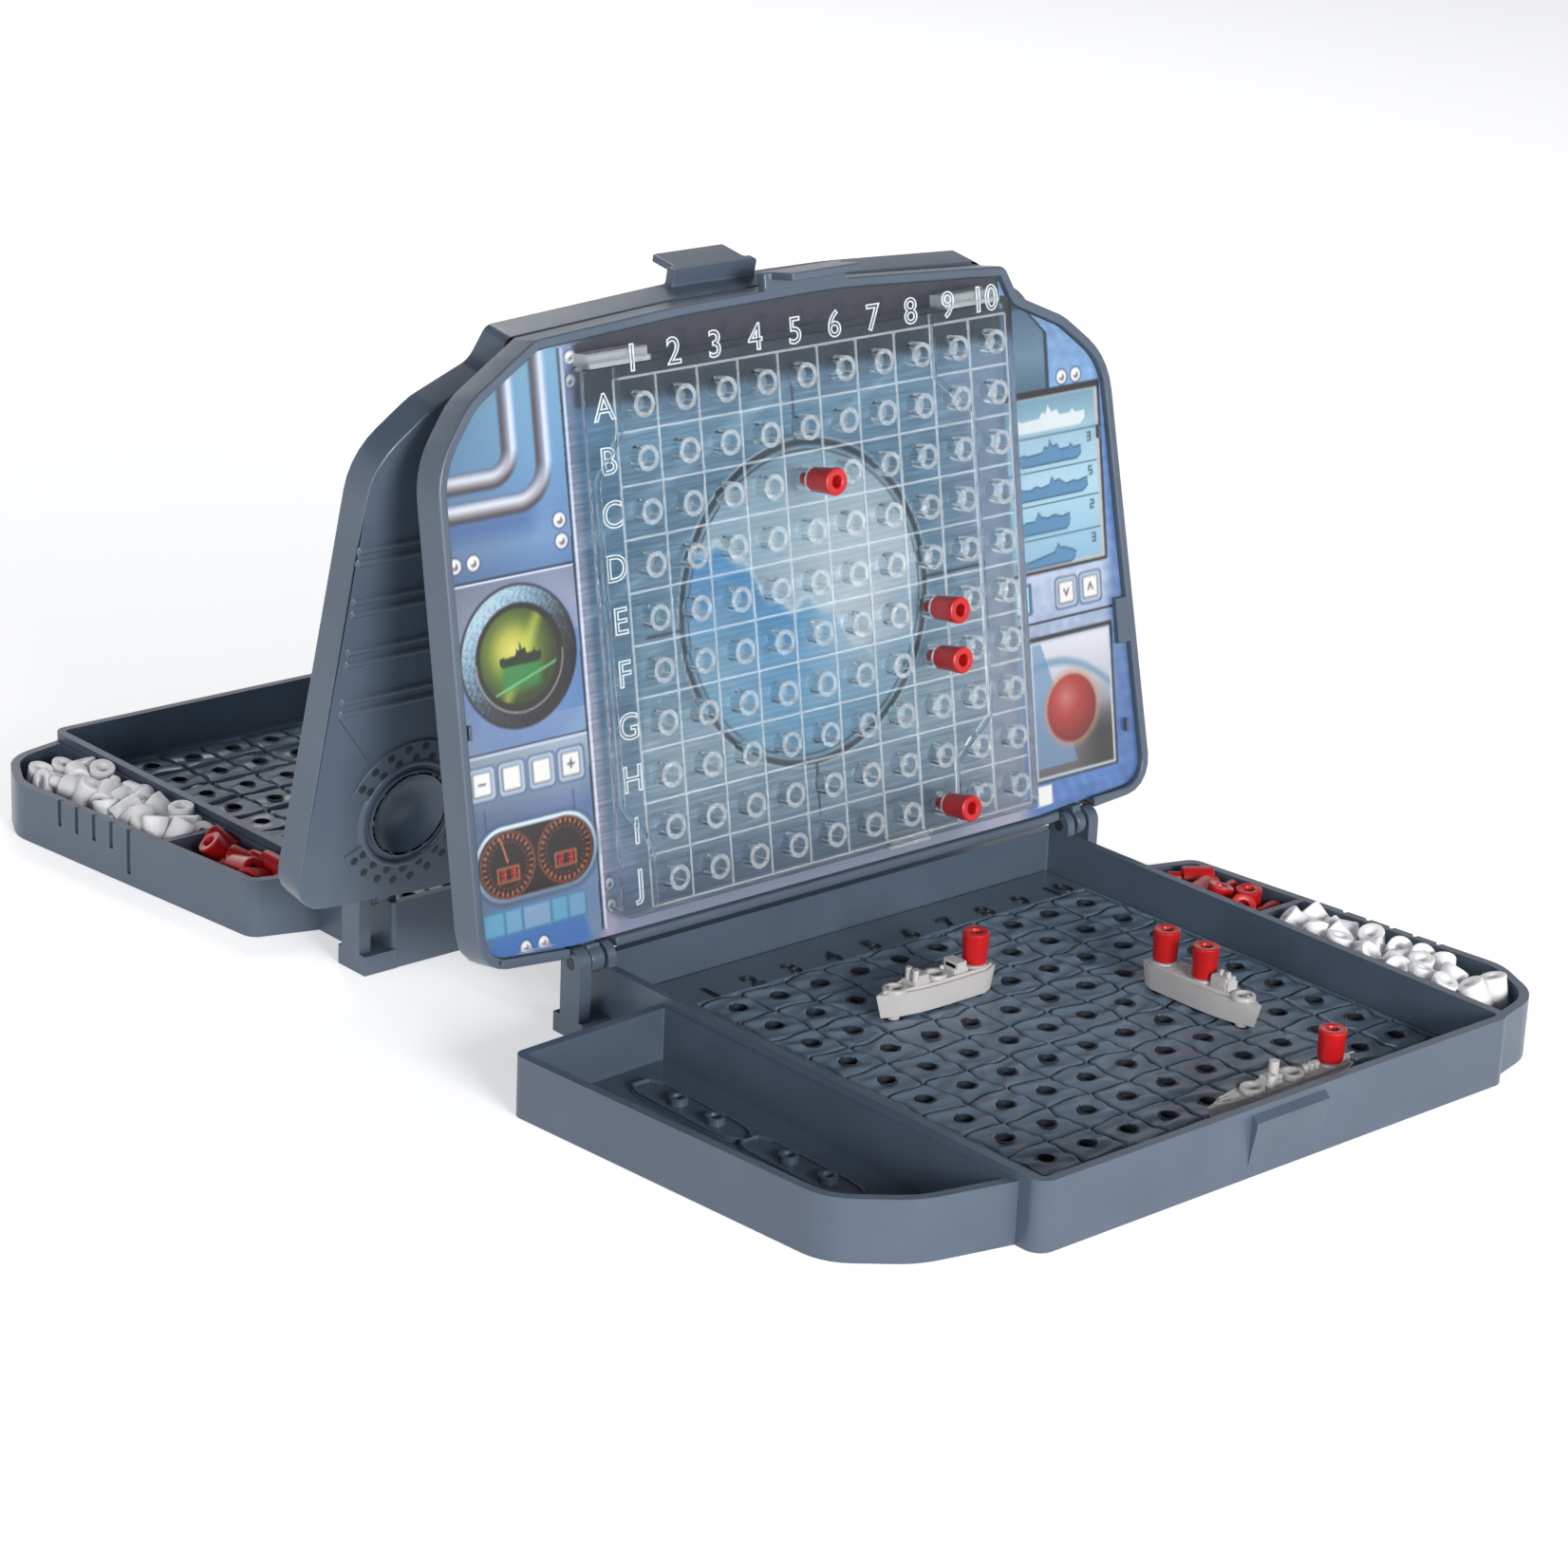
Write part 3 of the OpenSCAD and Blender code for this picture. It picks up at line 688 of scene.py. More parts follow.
def paint_left(p):
    X, B = p.X, p.B
    lay, fade, disc, near, panel = p.lay, p.fade, p.disc, p.near, p.panel
    left = X < -67.6
    base = fade(B, [(2, (.46, .55, .66)), (14, (.42, .52, .68)), (30, (.47, .55, .70)),
        (37, (.36, .45, .64)), (45, (.52, .60, .72)), (53.5, (.62, .69, .80)), (54.6, (.50, .62, .80)),
        (62, (.60, .68, .82)), (73, (.72, .75, .85)), (82, (.60, .64, .76)), (93.5, (.50, .54, .68)),
        (94.6, (.36, .50, .72)), (101, (.44, .58, .78)), (108, (.40, .55, .77)), (118, (.42, .60, .80)),
        (140, (.46, .64, .80))])
    base = base * (1 + 0.10 * np.tanh((X + 84) / 12))[..., None] * (0.86, 0.86, 0.82)
    lay(left * 1.0, base)
    hills = 79 + 1.6 * np.sin(X * 0.35) - 0.12 * (X + 100)
    lay(left * (B < hills) * (B > 54) * np.clip((B - 54) / 24, 0, 1) * (X < -98), (.33, .42, .60))
    lay(left * (B < 76 + 0.9 * (X + 71)) * (B > 60) * (X > -76) * .8, (.30, .50, .70))
    lay(left * disc(-84.5, 70.5, 19.5, 5) * .55 * (B > 54.4), (.34, .44, .64))
    lay(disc(-86, 4, 15, 1.5) * left * (B < 14.5), (.27, .42, .65))
    # the two bent pipes and their shadow
    lay(left * panel(-110, 103.5, -78, 108.5, 2, 5) * .6, (.22, .33, .54))
    half = 2.35
    for xv, bh, r in ((-83.2, 116.6, 6.0), (-73.6, 110.0, 8.5)):
        cx, cb = xv - r, bh + r
        s = np.where((X > cx) & (B < cb), np.hypot(X - cx, B - cb) - r,
            np.where(X <= cx, np.where(B < cb, cb - B - r, -9), X - cx - r))
        t = s / half
        tall = np.clip((B - bh) / r, 0, 1)[..., None]
        upright = fade(t, [(-1, (.25, .22, .25)), (-.55, (.36, .34, .36)), (-.05, (.55, .58, .66)),
            (.35, (.92, .93, .95)), (.75, (.70, .78, .87)), (1, (.52, .66, .82))])
        level = fade(t, [(-1, (.45, .50, .60)), (-.65, (.80, .84, .90)), (-.3, (.93, .93, .93)),
            (.2, (.62, .60, .62)), (.7, (.33, .29, .30)), (1, (.24, .22, .26))])
        metal = upright * tall + level * (1 - tall)
        lay(left * near(np.abs(s) - half, 0.9), metal * (0.88, 0.9, 0.93))
    for x, b in ((-70.6, 104.3), (-70.4, 99.4), (-101.2, 98.3), (-96, 98.3)):
        p.rivet(x, b)
    # porthole
    x, b = -85.4, 75.0
    g = grain(X, B, 1.6, 5) * 0.10
    side = np.clip(0.5 + ((X - x) * -0.6 + (B - b) * 0.8) / 30, 0, 1) + g
    lay(disc(x, b, 16.9), (.12, .13, .16))
    lay(disc(x, b, 16.3), fade(side, [(0, (.12, .12, .14)), (.42, (.20, .22, .25)),
        (.75, (.42, .54, .62)), (1, (.62, .72, .78))]))
    lay(disc(x + .3, b - .3, 12.7), (.13, .12, .11))
    lay(p.ring(x + .2, b - .6, 12.5, .3) * (B < b), (.62, .64, .62))
    r = np.hypot(X - x + 1.5, B - b - 1.5)
    lay(disc(x, b, 11.1), fade(r, [(0, (.78, .75, .38)), (4, (.64, .65, .26)),
        (7.4, (.34, .42, .14)), (11.5, (.17, .22, .10))]))
    lay(disc(x, b, 11) * near(np.abs((X - x) * .8 - (B - b) * .45 - 1) - 1.2, 2) * .6,
        (.70, .74, .30))
    lay(disc(x, b, 11) * panel(x - 5, b - 7.5, x + 6, b - 1.2, 1, 2) * .9, (.16, .45, .24))
    lay(disc(x, b, 11) * near(np.abs(B - b + 6 - .3 * (X - x)) - .3), (.40, .66, .44))
    p.silhouette(x + .5, b - .8, 12, FLEET[0], (.10, .17, .09), (.10, .17, .09), 1.0)
    # keys, bracket, dials, small panel
    p.key(-98.8, 47.3, [(-.9, 0, .9, 0)])
    p.key(-90.2, 47.3, [])
    p.key(-81.5, 47.3, [])
    p.key(-72.9, 47.3, [(-.9, 0, .9, 0), (0, -.9, 0, .9)])
    for line in ((-98.8, 41, -98.8, 36.2), (-98.8, 36.2, -72.9, 36.2), (-72.9, 36.2, -72.9, 41)):
        lay(p.stroke(*line, .35), (.20, .26, .42))
    lay(panel(-104, 17.6, -66.3, 37.0, 9.6, 1.5) * .6, (.20, .26, .38))
    lay(panel(-103, 18.4, -67.1, 36.4, 9.0), fade(B, [(18, (.40, .46, .54)), (27, (.52, .62, .70)),
        (36.5, (.80, .88, .92))]))
    lay(panel(-102, 19.4, -68.1, 35.4, 8.0), (.13, .10, .10))
    for x, b, n in ((-93.4, 27.2, (3, 3)), (-76.6, 27.6, (2, 3))):
        rr, a = np.hypot(X - x, B - b), np.arctan2(B - b, X - x)
        for r0, r1, k, c in ((6.3, 7.4, 30, (.66, .38, .26)), (5.3, 5.8, 30, (.46, .25, .18))):
            tick = (np.cos(a * k) > .35) * near(np.abs(rr - (r0 + r1) / 2) - (r1 - r0) / 2, .4)
            lay(tick * 0.9, c)
        lay(p.ring(x, b, 7.8, .3), (.60, .30, .20))
        lay(panel(x - 3.2, b - 4.0, x + 3.2, b - .4, .3) - panel(x - 2.8, b - 3.6, x + 2.8, b - .8,
            .2), (.78, .42, .28))
        p.digit(x - 1.4, b - 2.2, 1.8, n[0], (.80, .16, .12))
        p.digit(x + 1.4, b - 2.2, 1.8, n[1], (.80, .16, .12))
    lay(p.stroke(-93.4, 28, -95, 33.6, .4), (.84, .50, .36))
    lay(panel(-102, 10.6, -71.5, 17.0, 0) * .95, (.28, .46, .60))
    for i, w in enumerate((5.4, 4.4, 7.6, 4.2, 4.6)):
        x = -101.4 + sum((5.4, 4.4, 7.6, 4.2, 4.6)[:i]) + .8 * i
        lay(panel(x, 11.2, x + w, 16.4, 0), (.36 + .05 * (i % 3), .58, .70))
    for x in (-90.2, -85.0):
        p.rivet(x, 6.9, 1.5)
    for b in (94.0, 54.2):
        lay(left * near(np.abs(B - b) - .22, .35), (.10, .12, .18))
        lay(left * near(np.abs(B - b + .55) - .2, .35), (.80, .84, .92))


def paint_middle(p):
    X, B = p.X, p.B
    lay, near = p.lay, p.near
    mid = (X >= -67.6) & (X < 72.6)
    base = p.fade(B, [(2, (.50, .52, .60)), (14, (.42, .48, .56)), (28, (.52, .60, .67)),
        (44, (.60, .68, .74)), (60, (.47, .58, .66)), (84, (.40, .52, .61)), (108, (.38, .50, .60)),
        (120, (.45, .58, .68)), (127.5, (.36, .46, .56)), (130, (.20, .22, .27)), (150, (.17, .18, .22))])
    lay(mid * 1.0, base)
    lay(mid * np.clip((X - 44) / 16, 0, 1) * .8 * (B < 128), p.fade(B,
        [(2, (.62, .62, .70)), (60, (.62, .64, .72)), (128, (.50, .58, .68))]))
    lay(mid * np.clip((-50 - X) / 3, 0, 1) * (B < 129) * .75, p.fade(B,
        [(2, (.50, .52, .62)), (30, (.45, .52, .62)), (60, (.30, .42, .52)), (128, (.30, .46, .58))]))
    lay(mid * near(np.abs(X + 65) - 2.1, 1.2), p.fade(B, [(2, (.56, .55, .64)), (50, (.66, .66, .74)),
        (100, (.58, .60, .70)), (140, (.45, .52, .64))]))
    # sea of horizontal lines outside the round view
    lines = np.sin(B * 5.1 + .4 * np.sin(B * 1.7)) * .5 + np.sin(B * 2.3 + .6 * np.sin(X * .02)) * .5
    streak = grain(X * .06, B * 1.4, 1.2, 9)
    out = mid * (np.hypot(X - 2, B - 72.6) > 38.6) * (B < 127) * (B > 12) * (X < 60)
    p.c += (out * (.055 * lines + .05 * streak))[..., None]
    for x, b, s in ((-30, 112, .5), (-16, 120, .4), (20, 118, .5), (36, 106, .3)):
        lay(out * near(np.abs((X - x) * .45 - (B - b)) - .5, 2.5) * s, (.72, .82, .88))
    # round view: sky, white cloud, blue wave
    x, b = 2.0, 72.6
    r = np.hypot(X - x, B - b)
    inside = near(r - 38, .5)
    view = p.fade(B - b, [(-38, (.44, .60, .72)), (-22, (.50, .68, .80)), (-6, (.62, .74, .84)),
        (10, (.72, .78, .84)), (38, (.52, .64, .72))])
    lay(inside, view)
    for cx, cb, rad, s, c in ((16, 80, 22, .75, (.86, .89, .92)), (20, 66, 14, .6, (.93, .94, .96)),
            (-10, 92, 18, .4, (.66, .75, .80)), (-22, 74, 14, .45, (.42, .56, .66)),
            (22, 46, 12, .5, (.50, .60, .68))):
        lay(inside * np.exp(-((X - cx) ** 2 + (B - cb) ** 2) / rad ** 2) * s, c)
    crest = 72 - .62 * (X - x) + 3.0 * np.sin(X * .22) + 1.2 * np.sin(X * .71)
    wave = inside * np.clip((crest - B) / 3, 0, 1) * np.clip((B - (crest - 34)) / 30, 0, 1)
    lay(wave * .85 * np.clip((20 - X) / 26, 0, 1), (.27, .55, .76))
    lay(inside * near(np.abs(B - crest) - .7, 1.6) * .7 * (X < 24), (.90, .94, .97))
    p.c += (inside * .035 * np.sin(B * 4.1 + .8 * np.sin(X * .13)))[..., None]
    lay(p.ring(x, b, 39.2, 1.5), (.16, .19, .23))
    lay(p.ring(x, b, 37.2, .5), (.20, .24, .28))
    lay(p.ring(x, b, 40.3, .3) * mid, (.78, .84, .88))
    for line in ((2, 112, 2, 127), (41, 72.6, 62, 72.6), (2, 33, 2, 20), (-37, 72.6, -48, 72.6)):
        lay(p.stroke(*line, .6), (.12, .14, .18))
    lay(mid * near(np.abs(X + 67.3) - .3, .4), (.12, .13, .18))
    lay(mid * near(np.abs(X + 66.4) - .25, .4), (.82, .84, .90))
    for bb in (141, 135.5, 16.6, 11.4):
        p.rivet(-63.9, bb, 1.5)


def paint_right(p):
    X, B = p.X, p.B
    lay, panel = p.lay, p.panel
    right = X >= 72.6
    base = p.fade(B, [(2, (.24, .38, .62)), (12, (.30, .46, .70)), (20, (.34, .44, .62)),
        (50, (.56, .62, .72)), (55, (.60, .66, .76)), (67, (.68, .73, .82)), (76, (.42, .56, .76)),
        (110, (.46, .62, .80)), (124, (.42, .56, .72)), (140, (.40, .52, .66))])
    lay(right * 1.0, base)
    lay(right * np.clip((X - 104) / 4, 0, 1) * .7, (.24, .38, .60))
    p.c += (right * .03 * grain(X, B, 6, 3))[..., None]
    cut = (X - 72) + (B - 113) < 31
    lay(right * panel(60, 112, 88.5, 135.5, 1.2) * cut, (.13, .18, .25))
    lay(right * panel(60, 113.2, 87.3, 134.4, .8) * ((X - 72) + (B - 113) < 30),
          p.fade(B, [(113, (.24, .36, .44)), (122, (.36, .47, .55)), (134, (.26, .36, .46))]))
    for x in (93.0, 98.0):
        p.rivet(x, 115.6)
    # identification screen
    lay(right * panel(60, 66.6, 106.2, 113.4, .6), (.12, .11, .12))
    lay(right * panel(60, 67.4, 105.4, 111.6, .4), (.66, .68, .68))
    glass = right * panel(60, 68.2, 104.2, 111.2, .2)
    lay(glass, p.fade(B, [(68, (.50, .66, .76)), (88, (.62, .76, .83)), (102.5, (.55, .68, .75)),
        (112, (.38, .54, .62))]))
    blue, ink, white = (.30, .49, .64), (.12, .26, .38), (.78, .82, .84)
    for i, (tops, length) in enumerate(((FLEET[0], 26), (FLEET[0], 22.5), (FLEET[1], 26), (FLEET[2], 18),
            (FLEET[3], 21))):
        b = 105.6 - 8.7 * i
        p.silhouette(87.5 if i < 3 else 84.5, b - .6, length, tops, white if i == 0 else blue,
            white if i == 0 else ink, 2.0)
        if i:
            p.digit(101.6, b + 2.2, 2.0, (3, 5, 2, 3)[i - 1], (.08, .14, .22), .35)
            lay(glass * p.near(np.abs(B - b - 4.6) - .15, .35), (.12, .26, .34))
    p.key(90.7, 60.4, [(-.8, .7, 0, -.8), (0, -.8, .8, .7)])
    p.key(99.4, 60.4, [(-.8, -.7, 0, .8), (0, .8, .8, -.7)])
    lay(panel(73, 56.4, 78.4, 64.6, .5), (.20, .38, .50))
    lay(panel(73, 57.2, 77.2, 63.8, .3), (.72, .88, .92))
    lay(right * p.near(np.abs(B - 54.0) - .3, .35), (.10, .12, .18))
    # alarm button
    lay(right * panel(76.2, 12.2, 106.4, 50.4, .4), (.13, .13, .15))
    lay(right * panel(76.6, 12.8, 105.6, 49.2, .2), (.70, .74, .80))
    box = right * panel(77.4, 13.6, 104.8, 48.4, 0)
    lay(box, p.fade(B, [(13, (.34, .32, .34)), (26, (.42, .43, .46)), (38, (.70, .71, .76)),
        (48, (.80, .80, .84))]))
    r = np.hypot(X - 90.5, B - 30.0)
    lay(box * (X < 90.5 - (B - 20) * .35) * (B > 16) * .8, (.40, .54, .68))
    lay(box * np.clip((X - 90) / 10, 0, 1) * np.clip((30 - B) / 8, 0, 1), (.18, .17, .17))
    lay(box * p.near(np.abs(B - 43 + .02 * (X - 84) ** 2) - 1.0, 1.6) * .8, (.36, .52, .62))
    lay(box * p.near(r - 10.0, 2.2) * .7, (.70, .50, .40))
    lay(box * p.near(r - 8.8, .8), p.fade(np.hypot(X - 88.5, B - 33),
        [(0, (.70, .42, .42)), (5, (.62, .17, .15)), (10, (.48, .08, .08)), (14, (.30, .05, .05))]))
    lay(panel(76.8, 6.2, 81.8, 11.4, .2), (.90, .90, .88))


def console_card(name, body, node, turned):
    """Fine grid over the card's outline; the picture is painted on its points."""
    edge = np.array(lid_shape(2.75))
    step = 0.36
    b0, b1 = edge[:, 1].min() + 0.02, edge[:, 1].max() - 0.02
    nb = int((b1 - b0) / step) + 1
    bs = np.linspace(b0, b1, nb)
    span = []
    for b in bs:
        hit = []
        for (xa, ba), (xb, bb) in zip(edge, np.roll(edge, -1, 0)):
            if (ba <= b) != (bb <= b):
                hit.append(xa + (xb - xa) * (b - ba) / (bb - ba))
        span.append((min(hit), max(hit)))
    span = np.array(span)
    # columns are closer together on the two consoles than behind the clear screen
    k = step / 0.36
    U = np.concatenate([np.linspace(0, 0.19, int(130 / k), endpoint=False),
                        np.linspace(0.19, 0.81, int(240 / k), endpoint=False),
                        np.linspace(0.81, 1, int(130 / k))])[None, :]
    nx = U.size
    X = span[:, :1] + (span[:, 1:] - span[:, :1]) * U
    B = np.repeat(bs[:, None], nx, 1)
    pic = Picture(X, B)
    paint_middle(pic)
    paint_left(pic)
    paint_right(pic)
    srgb = np.clip(pic.c * 0.95, 0, 1)
    linear = np.where(srgb < 0.04045, srgb / 12.92, ((srgb + 0.055) / 1.055) ** 2.4)
    _, quads = grid_quads(nx, nb)
    verts = np.column_stack([X.ravel(), B.ravel(), np.full(X.size, CARD_W)])
    me = bpy.data.meshes.new(name)
    me.vertices.add(len(verts))
    me.vertices.foreach_set("co", verts.ravel())
    me.loops.add(quads.size)
    me.loops.foreach_set("vertex_index", quads.ravel())
    me.polygons.add(len(quads))
    me.polygons.foreach_set("loop_start", np.arange(0, quads.size, 4))
    me.update(calc_edges=True)
    colour = me.color_attributes.new("Print", "FLOAT_COLOR", "POINT")
    colour.data.foreach_set("color", np.column_stack([linear.reshape(-1, 3), np.ones(X.size)]).ravel())
    me.materials.append(INK)
    me.shade_smooth()
    o = in_scene(name, me)
    place(o, on_case(ON_LID, turned))
    return attach(o, body, "card", node)


# --- clear screen ---
def strip(build, points, w, z0, z1, m=None):
    """Upright wall of width w along a line of points."""
    pts = [np.array(p, float) for p in points]
    left, right = [], []
    for i, p in enumerate(pts):
        a = pts[i] - pts[i - 1] if i else pts[1] - pts[0]
        c = pts[i + 1] - pts[i] if i < len(pts) - 1 else a
        n = np.array([-a[1], a[0]]) / np.linalg.norm(a) + np.array([-c[1], c[0]]) / np.linalg.norm(c)
        n /= np.linalg.norm(n) ** 2 / 2
        left.append(tuple(p + n * w / 2))
        right.append(tuple(p - n * w / 2))
    build.prism(right + left[::-1], z0, z1, m, 0.2)


def screen_details(name, body, turned):
    b0, b1 = SCREEN_BOTTOM, SCREEN_TOP
    b, brackets = Build(), Build()
    m = on_case(ON_LID, turned)
    for side in (-1, 1):
        c, e = (-56.0, -63.6) if side < 0 else (43.2, 55.7)
        strip(brackets, [(c, b1 - 1.5), (c, b1 - 17), (e, b1 - 27), (e, b0 + 27), (c, b0 + 17),
            (c, b0 + 1.5)], 1.3, SCREEN_W - 0.05, SCREEN_W + 0.9)
        # clips at the top corners
        xc = -54 if side < 0 else 58
        b.block(xc - 9, b1 - 1.2, CARD_W + 0.1, xc + 9, b1 + 2.2, SCREEN_W - 0.6, 0.4)
        b.block(xc - 9, b1 - 1.2, SCREEN_W - 0.65, xc + 9, b1 + 0.2, SCREEN_W + 0.4, 0.3)
    b.block(TARGET_X + 16, b0 - 1.8, CARD_W + 0.1, TARGET_X + 30, b0 + 1.0, SCREEN_W - 2.4, 0.3)
    # three ribs inside every ring
    for c in range(N):
        for r in range(N):
            x, y = target_xb(c + 1, r)
            for k in range(3):
                a = math.pi / 2 + k * 2 * math.pi / 3
                b.lathe([(0.28, SCREEN_W - 0.3), (0.28, RING_W - 0.5), (0.12, RING_W - 0.3)], 8,
                        moved(x + 2.08 * math.cos(a), y + 2.08 * math.sin(a)))
    # the clips, the block and the ribs take the whiter clear material: painted highlight
    attach(b.object(name, CLEAR_HIGHLIGHT, m), body, "clear")
    attach(brackets.object(name + "_brackets", CLEAR, m), body, "clear")
    marks = grid_marks(target_xb, TCELL, 0.82, 0.74, 9.0, 0.2, SCREEN_W + 0.1)
    attach(joined(name + "_marks", marks, FROST, m), body, "clear")


# --- case details ---
SPEAKER = (86.0, 25.0)


def speaker_hole(turned):
    """Round opening cut through the back of the lid for the speaker's dish."""
    b = Build()
    b.lathe([(10.6, RIM_W - LID_DEPTH - 3), (10.6, CARD_W - 1.2)], 64, moved(*SPEAKER))
    return b.object("cutter", SLATE, on_case(ON_LID, turned))


def speaker(name, body, turned):
    """Dish, rim and two perforated plates on the outside of the lid; the perforations are raised near-black
    discs, painted shade.
    """
    back = RIM_W - LID_DEPTH
    b, hole_shade_dots = Build(), Build()
    flip = moved(*SPEAKER, back) @ spun(180, "X")
    b.lathe([(0.01, -2.6), (2.6, -2.6), (5.2, -2.9), (8.2, -1.6), (10.2, 0.35), (10.9, 0.85), (11.6, 0.8),
        (11.6, -0.4), (10.5, -0.4), (8.0, -3.4), (0.01, -4.2)], 72, flip, True)
    for start, end in ((25, 155), (205, 335)):
        arc = [math.radians(start + (end - start) * k / 24) for k in range(25)]
        ring = [(13.4, a) for a in arc] + [(19.6, a) for a in arc[::-1]]
        outline = [(r * math.cos(a), r * math.sin(a)) for r, a in ring][::-1]
        b.prism(outline, -0.3, 0.55, flip, 0.2)
        for r, count in ((15.1, 7), (17.9, 8)):
            for k in range(count):
                a = math.radians(start + (end - start) * (k + 0.5) / count)
                hole_shade_dots.lathe([(1.1, 0.3), (1.1, 0.57), (0.8, 0.6)], 14,
                    flip @ moved(r * math.cos(a), r * math.sin(a)))
    m = on_case(ON_LID, turned)
    attach(b.object(name, SLATE, m), body, "slate")
    attach(hole_shade_dots.object(name + "_hole_shade", PIN_AND_HOLE_SHADE, m), body, "slate")


def lid_details(name, body, turned):
    b = Build()
    top = RIM_W
    # card clips on the inner rim
    for x, y, w, h in ((-101.6, 60, 0.9, 3.4), (109.5, 22, 0.9, 3.4), (104.8, 100, 0.9, 3.4)):
        b.block(x - w / 2, y - h / 2, CARD_W, x + w / 2, y + h / 2, top - 0.2, 0.2)
    # thickened collar on the side of the shell
    collar = [(107.4, 44), (111.9, 44), (111.0, 56), (107.0, 56)]
    b.prism(collar, RIM_W - LID_DEPTH + 1, RIM_W + 0.05, None, 0.2)
    attach(b.object(name, SLATE, on_case(ON_LID, turned)), body, "slate")


def ship_outline(length, w):
    pts = [(-length / 2, 0), (-length / 2 + 4, -w * .4), (-length / 2 + 10, -w / 2),
        (length / 2 - 4, -w / 2), (length / 2, -w * .3), (length / 2, w * .3), (length / 2 - 4, w / 2),
        (-length / 2 + 10, w / 2), (-length / 2 + 4, w * .4)]
    return rounded(pts, [1.5, 6, 10, 3, 1, 1, 3, 10, 6], 4)


def tray_details(name, body, turned):
    """Berths for the stowed ships in the ship bin, and the studs beside them."""
    b = Build()
    for x, y, length, turn in ((-84, -86, 40, 90), (-84, -124, 40, 90), (-84.5, -153, 24, 90),
            (-101, -88, 44, 84), (-97.5, -137, 36, 84)):
        m = moved(x, y) @ spun(turn)
        b.prism(ship_outline(length, 9.4), FLOOR_T - 0.1, FLOOR_T + 0.4, m, 0.2)
        ridge = ship_outline(length - 1, 8.2)
        strip(b, ridge + ridge[:1], 0.8, FLOOR_T + 0.3, FLOOR_T + 1.2, m)
    for x, y in ((-94, -76), (-92.5, -104), (-91, -120), (-90, -140)):
        b.block(x - 1.6, y - 1.6, FLOOR_T - 0.1, x + 1.6, y + 1.6, FLOOR_T + 0.7, 0.25)
    attach(b.object(name, SLATE, on_case(IN_MM, turned)), body, "slate")


